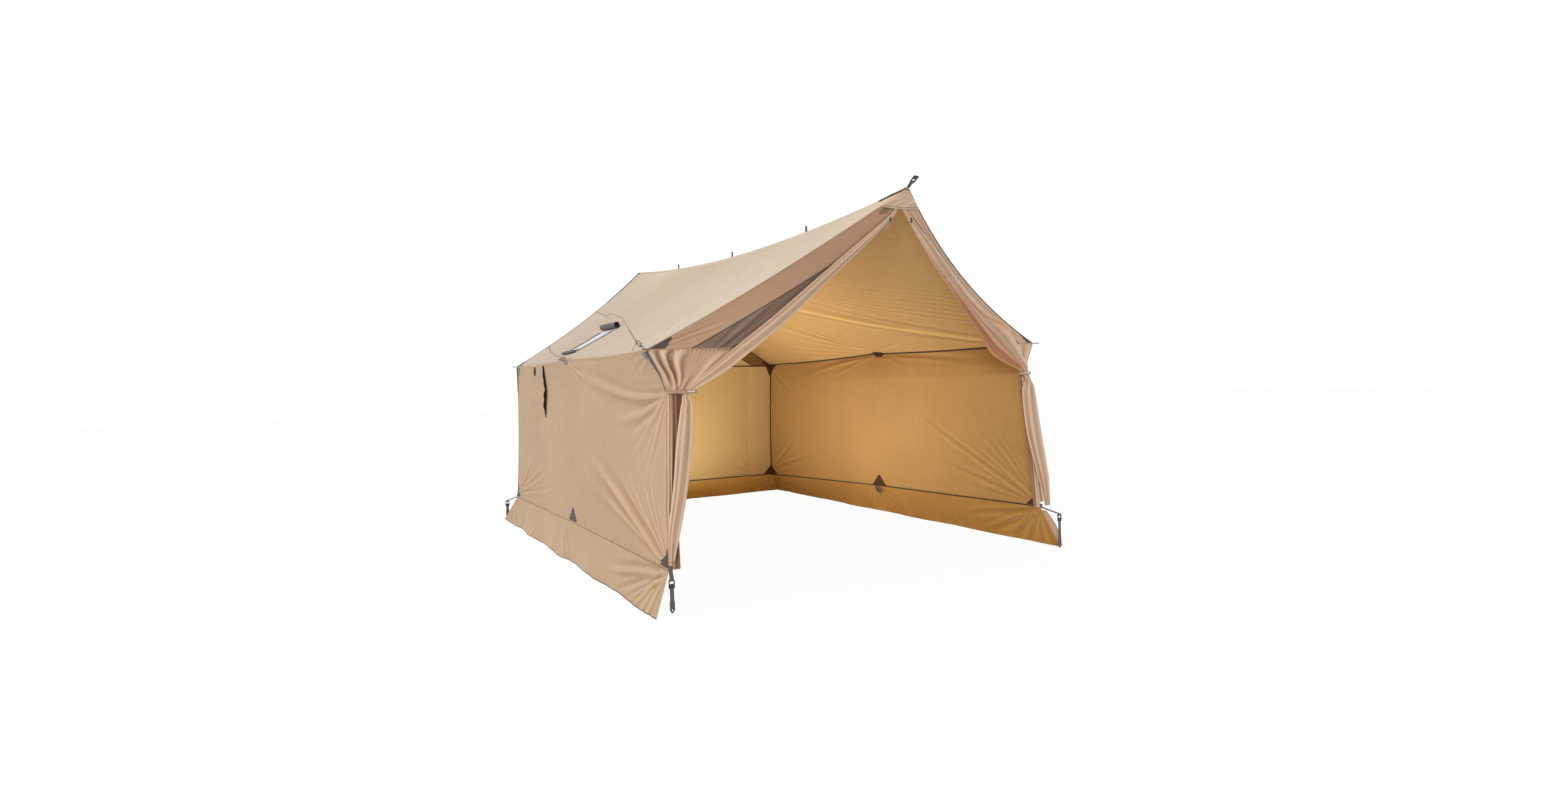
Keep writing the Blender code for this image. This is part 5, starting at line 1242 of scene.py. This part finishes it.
def hood(end):
    shares = evenly(31)
    left, right = (slope_edge(side, end, 0.012 + 0.088 * shares) for side in SIDES)
    forward = vec(0.0, ENDS[end], 0.0)
    s = evenly(61)[:, None]
    rows = []
    for share, a, b in zip(shares, left, right):
        row = between(a, b, s)
        row[:, 2:] -= 0.15 * (a[2] - row[:, 2:] + 0.025) * (4 * s * (1 - s) * share)
        rows.append(row)
    made = Surface(np.array(rows) + forward * 0.0028)
    by = np.abs(noise_field(made.s * 28, made.t * 22, 95)) * 0.005
    made.push(by + noise_field(made.s * 9, made.t * 14, 96) * 0.003, (0.01, 0.0, 0.004, 0.004))
    shell(end + "_hood_cloth", made, CLOTH, "hood", "band_in", [end + "_hood"])
    tube(end + "_hood_hem", made.grid[-1] + forward * 0.0006, 0.0030, "hood")
    tube(end + "_hood_thread", made.grid[-3] + forward * 0.0016, 0.0009, "seam", 6)


for end in ENDS:
    hood(end)
# a small darker half-disc on the band under the hood's left corner
patch("dark_disc_under_hood", S["front_band_left"],
      [(0.22, 0.098), (0.62, 0.092), (0.60, 0.118), (0.34, 0.128)], "seam", 0.0045)


# Webbing, loops and hardware: rounded copies that stand for the plain solids

HARDWARE = (
    # parts of nodes' names, look, slot, bevel, times smoothed
    (("tie_band",), "tie", "webbing", 0.0007, 0),
    (("anchor_webbing", "stake_strap", "peak_webbing"), "webbing", "webbing", 0.0005, 0),
    (("ridge_loop",), "webbing", "webbing", 0.0009, 0),
    (("guy_loop", "stake_loop"), "webbing", "webbing", 0.0001, 2),
    (("ladder_lock", "front_peak_buckle", "guyline_tensioner"), "dark_plastic", "dark_plastic",
     0.0007, 0),
    (("slider",), "dark_plastic", "dark_plastic", 0.0008, 0),
    (("tie_toggle",), "pale_plastic", "pale_plastic", 0.0012, 0),
)


def rucked(fix, node):
    """Cuts a tie's long edges up and gathers them unevenly."""
    long_edges = [e for e in fix.edges if e.calc_length() > 0.03]
    bmesh.ops.subdivide_edges(fix, edges=long_edges, cuts=24)
    low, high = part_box(node)
    middle = (low[2] + high[2]) / 2
    for v in fix.verts:
        x = v.co.x
        gather = 0.88 + 0.07 * math.sin(160 * x) + 0.05 * math.sin(390 * x)
        v.co.z = middle + (v.co.z - middle) * gather + 0.0018 * math.sin(95 * x)


def rounded(node, look, slot, bevel, smoothed):
    mesh = NODES[node].data.copy()
    fix = bmesh.new()
    fix.from_mesh(mesh)
    bmesh.ops.remove_doubles(fix, verts=fix.verts, dist=1e-6)
    bmesh.ops.dissolve_limit(fix, angle_limit=math.radians(1.0), verts=fix.verts, edges=fix.edges)
    if look == "tie":
        rucked(fix, node)
    fix.to_mesh(mesh)
    fix.free()
    mesh.color_attributes.new("tone", "FLOAT_COLOR", "POINT").data.foreach_set(
        "color", np.ones(4 * len(mesh.vertices), np.float32))
    mesh.materials.clear()
    mesh.materials.append(LOOK[look])
    mesh.shade_smooth()
    mesh.set_sharp_from_angle(angle=math.radians(40.0))
    made = link(bpy.data.objects.new(node + "_piece", mesh), body_of(NODES[node])[0])
    edge = made.modifiers.new("edge", "BEVEL")
    edge.width, edge.segments, edge.limit_method = bevel, 2, "ANGLE"
    edge.angle_limit = math.radians(35.0)
    if smoothed:
        smoother = made.modifiers.new("round", "SUBSURF")
        smoother.levels = smoother.render_levels = smoothed
    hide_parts(node)


for node in NODES:
    for parts, *how in HARDWARE:
        if any(part in node for part in parts):
            rounded(node, *how)
            break


# The guylines' cords, knots and tails

roof_line, roof_length = guyline("guyline_roof", ROOF_CORD)
side_line, side_length = guyline("guyline_side", SIDE_CORD)


def knot(name, cord):
    """A small stopper knot at a cord's end."""
    ahead = unit(np.subtract(cord[-1], cord[-2]))
    side = unit(np.cross(ahead, (0, 0, 1)))
    up = np.cross(side, ahead)
    line = [np.array(cord[-1]) + ahead * 0.003 * math.sin(2 * t)
            + side * (0.003 + 0.0012 * math.cos(3 * t)) * math.cos(t) * 1.1
            + up * (0.0035 + 0.0016 * math.sin(t)) * math.sin(t)
            for t in np.linspace(0, math.tau, 40, endpoint=False)]
    return tube(name, line + line[:1], 0.0014, "cord")


def cord_end(name, start, count, radius, *steps):
    """A short piece of cord through places counted from its start."""
    line = smooth_line([start + vec(*step) for step in steps], count)
    return tube(name, line, radius, "cord")


roof_knot, side_knot = knot("guyline_roof_knot", ROOF_CORD), knot("guyline_side_knot", SIDE_CORD)
at = np.array(ROOF_CORD[4]) + vec(-0.01, 0.0, 0.006)
loop = cord_end("guyline_roof_loop", at, 50, 0.0017, (0, 0, 0), (-0.010, -0.022, 0.014),
                (-0.004, -0.048, 0.012), (0.014, -0.042, 0.002), (0.008, -0.020, 0.0))
roof_tail = cord_end("guyline_roof_tail", at, 40, 0.0013, (0.0, -0.028, 0.002),
                     (-0.018, -0.030, -0.008), (-0.030, -0.026, -0.024), (-0.032, -0.018, -0.042))
side_tail = cord_end("guyline_side_tail", S["roof_left"].at(0.548, 0.965, 0.006), 50, 0.0013,
                     (0, 0, 0), (-0.022, 0.016, 0.004), (-0.038, 0.026, -0.012),
                     (-0.040, 0.024, -0.034))


# The right strip's tail, drawn from the corner down to the skirt's foot

rows = []
u = np.linspace(-0.12, 1.0, 18)
for t, place in zip(DROPS, S["skirt_right"].grid[:, 0]):
    wide = 0.018 + 0.030 * math.sin(math.pi * min(t * 1.1, 1.0)) ** 0.8
    rows.append(place + np.outer(u * wide, vec(0.72, -0.55, 0.0))
                + np.outer(0.006 * np.sin(u * 7.0 + t * 3.0) * (1 - 0.5 * t), vec(0.5, 0.8, 0.0)))
shell("front_strip_tail_right", Surface(rows[2:-1]), LINING, "satin", "rust")


# Stove jack and its rolled flap, and the wall flap

JACK = (0.604, 0.7108, 0.65, 0.88)
roof = S["roof_left"]
S["jack"] = Surface(roof.at(
    *np.meshgrid(np.linspace(*JACK[:2], 41), np.linspace(*JACK[2:], 41)), 0.0027))
shell("stove_jack_cloth", S["jack"], JACK_CLOTH, "stove", "stove",
      ["stove_jack_panel"])
ends = [roof.at(u, JACK[2]) + roof.way(u, JACK[2]) * 0.028 for u in JACK[:2]]
up_slope = unit(roof.at(0.65, 0.62) - roof.at(0.65, 0.66))
line = between(*ends, evenly(40)[:, None]) + up_slope * 0.0263
turns = np.linspace(0, math.pi * 7.0, 120)
axis = unit(ends[1] - ends[0])
first = unit(np.cross(axis, (0, 0, 1)))
second = np.cross(axis, first)
radius = 0.0255 - 0.0165 * turns / turns[-1]
k = np.arange(len(line))
lumps = 1.0 + 0.03 * np.sin(k * 0.9)
for pinch in (9, 30):
    lumps = lumps - 0.10 * bell(k, pinch, 2.0)
spiral = np.outer(np.cos(turns) * radius, first) + np.outer(np.sin(turns) * radius, second)
shell("stove_jack_roll", Surface(line[:, None] + lumps[:, None, None] * spiral, True), LINING,
      "roll", "roll", ["stove_jack_flap"], (0.45, 0.38), 0.15)

FLAP_START, FLAP_END, FLAP_DROP = 0.7108, 0.8373, 0.3697
v, u = np.meshgrid(evenly(41), evenly(31), indexing="ij")
bulge = 0.013 * np.sin(np.pi * v) + 0.004 * np.sin(math.tau * v * 1.7 + u * 2) * v
bulge += np.abs(noise_field(u * 5 + 2, v * 9, 97)) * 0.012 * np.sin(np.pi * v) ** 0.5
across = FLAP_START + (FLAP_END - FLAP_START) * u
across += (1 - u) * v * (0.004 + 0.0055 * np.sin(v * 9.0))
S["flap"] = Surface(S["wall_left"].at(across, FLAP_DROP * v, 0.0033 + bulge))
shell("wall_vent_flap_cloth", S["flap"], CLOTH, "wall_out", "wall_in",
      ["wall_vent_flap"], body="vent_flap")


# Seams, edgings and patches

STITCH, STITCH_WIDTH = 0.005, 0.0011
STITCH_FACES = ((0, 2, 3), (1, 3, 2), (0, 4, 2), (0, 3, 4), (1, 2, 4), (1, 4, 3))
INSIDE, WHOLE = (0.002, 0.998), (0.0, 1.0)
LONG, TALL = 161, 81
WALL_SEAM = [(0.497, 0.02), (0.4975, 0.5), (0.496, 0.99)]
BOTTOM_PATCH = ((0.484, 0.915), (0.489, 0.915), (0.513, 0.996), (0.460, 0.996))
# name, surface, four corners, look and lift; the first is at the back corners alone
CORNER_PATCHES = (
    ("corner_patch_roof", "roof",
     ((0.001, 0.90), (0.008, 0.935), (0.035, 0.995), (0.001, 0.998)), "grey_patch", 0.0024),
    ("corner_patch_wall", "wall",
     ((0.0006, 0.004), (0.024, 0.010), (0.013, 0.085), (0.0006, 0.190)), "grey_patch", 0.0024),
    ("corner_tab", "wall",
     ((0.016, 0.006), (0.034, 0.010), (0.031, 0.036), (0.014, 0.048)), "pale_patch", 0.0036),
    ("corner_patch_foot", "wall",
     ((0.001, 0.905), (0.008, 0.94), (0.032, 0.992), (0.001, 0.996)), "grey_patch", 0.0024),
    ("corner_patch_inside", "wall",
     ((0.002, 0.006), (0.034, 0.008), (0.012, 0.05), (0.002, 0.10)), "brown_patch", -0.0024),
    ("foot_patch_inside", "wall",
     ((0.002, 0.915), (0.006, 0.925), (0.033, 0.988), (0.002, 0.994)), "brown_patch", -0.0024),
)
MIDDLE_PATCHES = (
    ("eave_patch", "roof",
     ((0.483, 0.975), (0.516, 0.975), (0.522, 0.998), (0.477, 0.998)), "pale_patch", 0.0014),
    ("eave_patch_low", "wall",
     ((0.479, 0.003), (0.52, 0.003), (0.506, 0.034), (0.493, 0.034)), "pale_patch", 0.0014),
    ("eave_patch_inside", "roof",
     ((0.472, 0.972), (0.500, 0.972), (0.507, 0.996), (0.462, 0.996)), "brown_patch", -0.0018),
    ("eave_patch_inside_low", "wall",
     ((0.462, 0.004), (0.507, 0.004), (0.495, 0.028), (0.474, 0.028)), "brown_patch", -0.0018),
    ("bottom_patch", "wall", BOTTOM_PATCH, "grey_patch", 0.0024),
    ("bottom_patch_inside", "wall", BOTTOM_PATCH, "brown_patch", -0.0024),
)


def stitches(name, surface, v, look):
    """A row of short thread bumps along a row of a surface."""
    u = np.linspace(*INSIDE, 200)
    line = surface.at(u, 0 * u + v, 0.0010)
    run = runs(line, 0)
    starts = np.arange(int(run[-1] / STITCH)) * STITCH
    ends = [np.stack([np.interp(starts + s, run, line[:, k]) for k in range(3)], 1)
            for s in (0.0, STITCH * 0.62)]
    outs = surface.way(np.interp(starts, run, u), 0 * starts + v)
    points, faces = [], []
    for a, b, out in zip(*ends, outs):
        side = unit(np.cross(b - a, out)) * STITCH_WIDTH / 2
        middle = (a + b) / 2 + out * STITCH_WIDTH * 0.8
        faces += [[len(points) + k for k in face] for face in STITCH_FACES]
        points += [a, b, middle + side, middle - side, middle - out * STITCH_WIDTH * 0.9]
    mesh_object(name, points, faces, [look], smooth=False)


def from_end(end, places):
    """Places counted from one end of a surface."""
    return [(u if end == "front" else 1 - u, v) for u, v in places]


for side in SIDES:
    roof, wall = S["roof_" + side], S["wall_" + side]
    # a felled seam outside the eave, which stops beside the vent flap, and piping inside it
    for k, span in enumerate(((0.0, 0.705), (0.843, 1.0)) if side == "left" else (WHOLE,)):
        edging("eave_seam_%d_%s" % (k, side), roof, span, 1.0, LONG, 0.0012, 0.0022, "wall_out",
               6)
    edging("eave_piping_" + side, roof, INSIDE, 0.996, LONG, -0.0055, 0.0042, "dark_trim")
    edging("bottom_seam_" + side, wall, WHOLE, 0.998, LONG, 0.001, 0.0042, "wall_out")
    u = evenly(LONG)
    tube("bottom_thread_" + side, wall.at(u, 0 * u + 1.0, 0.0036) - vec(0, 0, 0.004), 0.0011,
         "seam", 6)
    edging("bottom_piping_" + side, wall, INSIDE, 0.996, LONG, -0.0055, 0.0038, "dark_trim")
    for end, u in (("front", 0.0), ("back", 1.0)):
        look = "dark_trim" if side == "right" or end == "back" else "band_out"
        edging("slope_edging_%s_%s" % (end, side), roof, u, (0.012, 1), 91, 0.001, 0.0028, look,
               6)
        edging("corner_edging_%s_%s" % (end, side), wall, u, WHOLE, TALL, 0.0008, 0.0024,
               "dark_trim" if end == "back" else "wall_out", 6)
    edging("back_corner_piping_" + side, wall, 0.996, (0.01, 0.99), TALL, -0.006, 0.0042,
           "dark_trim")
    seam("wall_seam_" + side, wall, WALL_SEAM, 0.012, 0.0009, "wall_out", "wall_cloth", 0.0005)
    seam("wall_seam_inside_" + side, wall, WALL_SEAM, 0.010, -0.0012, "wall_in", "wall_cloth")
    stitches("eave_stitches_" + side, roof, 0.992, "roof_in")
    stitches("wall_stitches_" + side, wall, 0.010, "band_out")
    # patches at the corners and at the middle of the eave and of the bottom seam
    for end in ENDS:
        for name, of, corners, look, lift in CORNER_PATCHES[end == "front" :]:
            patch("%s_%s_%s" % (name, end, side), S["%s_%s" % (of, side)],
                  from_end(end, corners), look, lift)
        seam("corner_strip_%s_%s" % (end, side), wall,
             from_end(end, [(0.0030, 0.005), (0.0027, 0.1), (0.0022, 0.19)]), 0.012, 0.0046,
             "black_trim", "webbing", count=40)
    for name, of, corners, look, lift in MIDDLE_PATCHES:
        patch("%s_%s" % (name, side), S["%s_%s" % (of, side)], corners, look, lift)

turn = np.linspace(0, math.tau, 25)
tube("corner_ring", S["wall_right"].at(0.9935, 0.33, -0.020)
     + np.outer(np.cos(turn), vec(0, 0.003, 0.011)) + np.outer(np.sin(turn), vec(-0.010, 0, 0)),
     0.0022, "pale_plastic")
edging("ridge_seam", S["roof_left"], WHOLE, 0.0, LONG, 0.001, 0.004, "roof_out")
for name, of, places, *how in (
        ("corner_ring_tab", "wall_right", [(0.9935, 0.318), (0.9935, 0.33), (0.9935, 0.342)],
         0.018, -0.008, "brown_patch", "webbing", 0.006, 12),
        ("ridge_webbing", "roof_left", [(0.001, 0.004), (0.03, 0.004), (0.06, 0.004)],
         0.030, 0.006, "webbing", "webbing", 0.0012, 30),
        ("peak_webbing_right", "roof_right", [(0.002, 0.004), (0.002, 0.03), (0.002, 0.055)],
         0.018, 0.004, "webbing", "webbing", 0.0012, 30),
        ("slope_strip", "roof_left", [(0.9955, 0.002), (0.9955, 0.15), (0.9965, 0.29)],
         0.030, 0.0044, "webbing", "webbing", 0.003, 60),
        ("slope_strip_tip", "roof_left", [(0.9965, 0.291), (0.9965, 0.30), (0.997, 0.312)],
         0.026, 0.004, "black_trim", "webbing", 0.003, 12)):
    seam(name, S[of], places, *how)

for side in SIDES:
    band = S["front_band_" + side]
    patch("band_patch_" + side, band, [(0.0, 0.912), (0.09, 0.922), (0.38, 0.997), (0.0, 0.997)],
          "grey_patch", 0.0026)
    edging("band_seam_" + side, band, 1.0, (0.26, 1), 80, 0.001, 0.0018,
           "dark_trim" if side == "left" else "band_out", 6)
    edging("strip_seam_" + side, S["strip_" + side], WHOLE, 0.0, 80, 0.0015, 0.0028, "band_out")
    edging("strip_edge_" + side, S["strip_" + side], 0.0, (0.01, 1), 120, 0.0, 0.0016, "seam",
           6)
    back, leaf_back = S["back_band_" + side], S["back_leaf_" + side]
    for k, x in enumerate((0.02, 0.98)):
        seam("back_band_line_%d_%s" % (k, side), back, [(x, 0.03), (x, 0.25), (x, 0.46)], 0.010,
             -0.0014, "dark_trim", "band_cloth")
    patch("back_corner_patch_" + side, back,
          [(0.0, 0.435), (0.32, 0.452), (0.05, 0.515), (0.0, 0.52)], "brown_patch", -0.0026)
    patch("back_foot_patch_" + side, back,
          [(0.0, 0.950), (0.04, 0.953), (0.44, 0.998), (0.0, 0.998)], "brown_patch", -0.0026)
    for name, v in (("eave", SLOPE_ROWS / (len(back.s) - 1)), ("foot", 0.996)):
        line = [back.at(np.linspace(0.01, 1, 12), np.full(12, v), -0.004)[:-1],
                leaf_back.at(np.linspace(0.0, 0.99, 60), np.full(60, v), -0.004)]
        tube("back_piping_%s_%s" % (name, side), np.concatenate(line), 0.0042, "dark_trim")

edging("mesh_edge", S["front_mesh"], 0.97, (0.30, 1), 80, 0.0, 0.0016, "dark_trim",
       6)
for x in (0.42, 0.58):
    edging("zip_coil_%d" % (100 * x), S["back_zip"], x, (0.02, 0.99), 160, -0.0016, 0.0012,
           "black_trim", 6)

# stove jack edging and the vent flap's binding
for k, (a, b) in enumerate((((0.065, 0.06), (0.065, 0.93)), ((0.07, 0.935), (0.93, 0.935)),
                            ((0.935, 0.93), (0.935, 0.06)))):
    places = between(np.array(a), np.array(b), evenly(60)[:, None])
    places[:, 1 if a[1] == b[1] else 0] += 0.010 * np.sin(np.linspace(0, 26 * math.pi, 60))
    ribbon("stove_edge_%d" % k, S["jack"], places, 0.048, 0.0018, "black_trim")
for name, look, radius, edge in (
        ("front", "black_trim", 0.0050,
         ((0.0, 0.02), (0.004, 0.3), (0.0, 0.6), (0.004, 0.85), (0.02, 0.998))),
        ("foot", "wall_out", 0.0014, ((0.02, 0.998), (0.3, 1.0), (0.7, 1.0), (0.998, 0.998))),
        ("back", "wall_out", 0.0014, ((1.0, 0.99), (1.0, 0.6), (1.0, 0.3), (1.0, 0.02)))):
    line = smooth_line(edge, 70).clip(0, 1)
    tube("flap_edge_" + name, S["flap"].at(line[:, 0], line[:, 1], 0.0008), radius, look,
         body="vent_flap")
patch("flap_tab", S["flap"], [(0.60, 0.03), (0.72, 0.03), (0.72, 0.19), (0.60, 0.19)],
      "black_trim", 0.003, body="vent_flap")

# the dark bundle along the stove jack's lower edge
u = JACK[0] + (JACK[1] - JACK[0]) * np.linspace(-0.02, 1.04, 50)
swell = 0.006 + 0.007 * np.sin(np.pi * evenly(50)) + 0.0015 * np.sin(np.arange(50) * 1.1)
tube("stove_bundle", S["roof_left"].at(u, np.full(50, JACK[3] + 0.008), 0.012), swell, "roll",
     12)


# Light, floor and backdrop

WHITE = (1.0, 1.0, 1.0)
FLOOR_REACH = 40.0


def seen_by(tree, *kinds):
    """1 for the named kinds of rays, 0 for others."""
    path = tree.nodes.new("ShaderNodeLightPath").outputs
    made = path["Is %s Ray" % kinds[0]]
    for kind in kinds[1:]:
        made = maths(tree, "MAXIMUM", made, path["Is %s Ray" % kind])
    return made


def shown(tree, share, first, second, end):
    both = add(tree, "MixShader", {0: share, 1: first, 2: second})
    feed(tree, both, tree.nodes[end].inputs["Surface"])


def light(name, kind, power, place=(0, 0, 0), turn=(0, 0, 0), **settings):
    data = bpy.data.lights.new(name, kind)
    data.energy = power
    for key, value in settings.items():
        setattr(data, key, value)
    made = bpy.data.objects.new(name, data)
    made.location, made.rotation_euler = place, turn
    made.visible_camera = kind == "SUN"
    bpy.context.scene.collection.objects.link(made)


def aimed(*way):
    return Vector(way).to_track_quat("-Z", "Y").to_euler()


def lighting():
    scene = bpy.context.scene
    scene.world = bpy.data.worlds.new("world")
    scene.world.use_nodes = True
    tree = scene.world.node_tree
    back = tree.nodes["Background"]
    feed(tree, WHITE, back.inputs["Color"])
    feed(tree, 0.52, back.inputs["Strength"])
    shown(tree, seen_by(tree, "Camera", "Transmission", "Glossy"), back.outputs[0],
          add(tree, "Background", {"Color": WHITE, "Strength": 1.0}), "World Output")
    light("key_light", "SUN", 1.3, turn=aimed(0.66, 0.73, -0.20), angle=math.radians(20.0))
    light("top_light", "AREA", 64.0, (-2.0, -2.2, 5.6), aimed(1.6, 1.3, -4.4),
          shape="RECTANGLE", size=4.0, size_y=4.0)
    light("room_light", "AREA", 34.5, (0.0, 0.45, 0.05), (math.pi, 0.0, 0.0),
          shape="RECTANGLE", size=1.1, size_y=2.2)
    light("room_fill", "POINT", 4.6, (0.12, 0.22, 0.95), shadow_soft_size=0.3)
    floor = bpy.data.meshes.new("floor")
    r = FLOOR_REACH
    floor.from_pydata([(-r, -r, 0), (r, -r, 0), (r, r, 0), (-r, r, 0)], [], [(0, 1, 2, 3)])
    made = bpy.data.objects.new("floor", floor)
    made.location = (0, 0, -0.0005)
    scene.collection.objects.link(made)
    look, tree = shader_of("floor", (0.93, 0.93, 0.93), 0.9)[:2]
    shown(tree, maths(tree, "MULTIPLY", seen_by(tree, "Camera", "Glossy"), 0.96),
          tree.nodes["Principled BSDF"].outputs[0], add(tree, "Emission", {"Strength": 1.0}),
          "Material Output")
    floor.materials.append(look)
    scene.view_settings.view_transform = "Standard"


lighting()
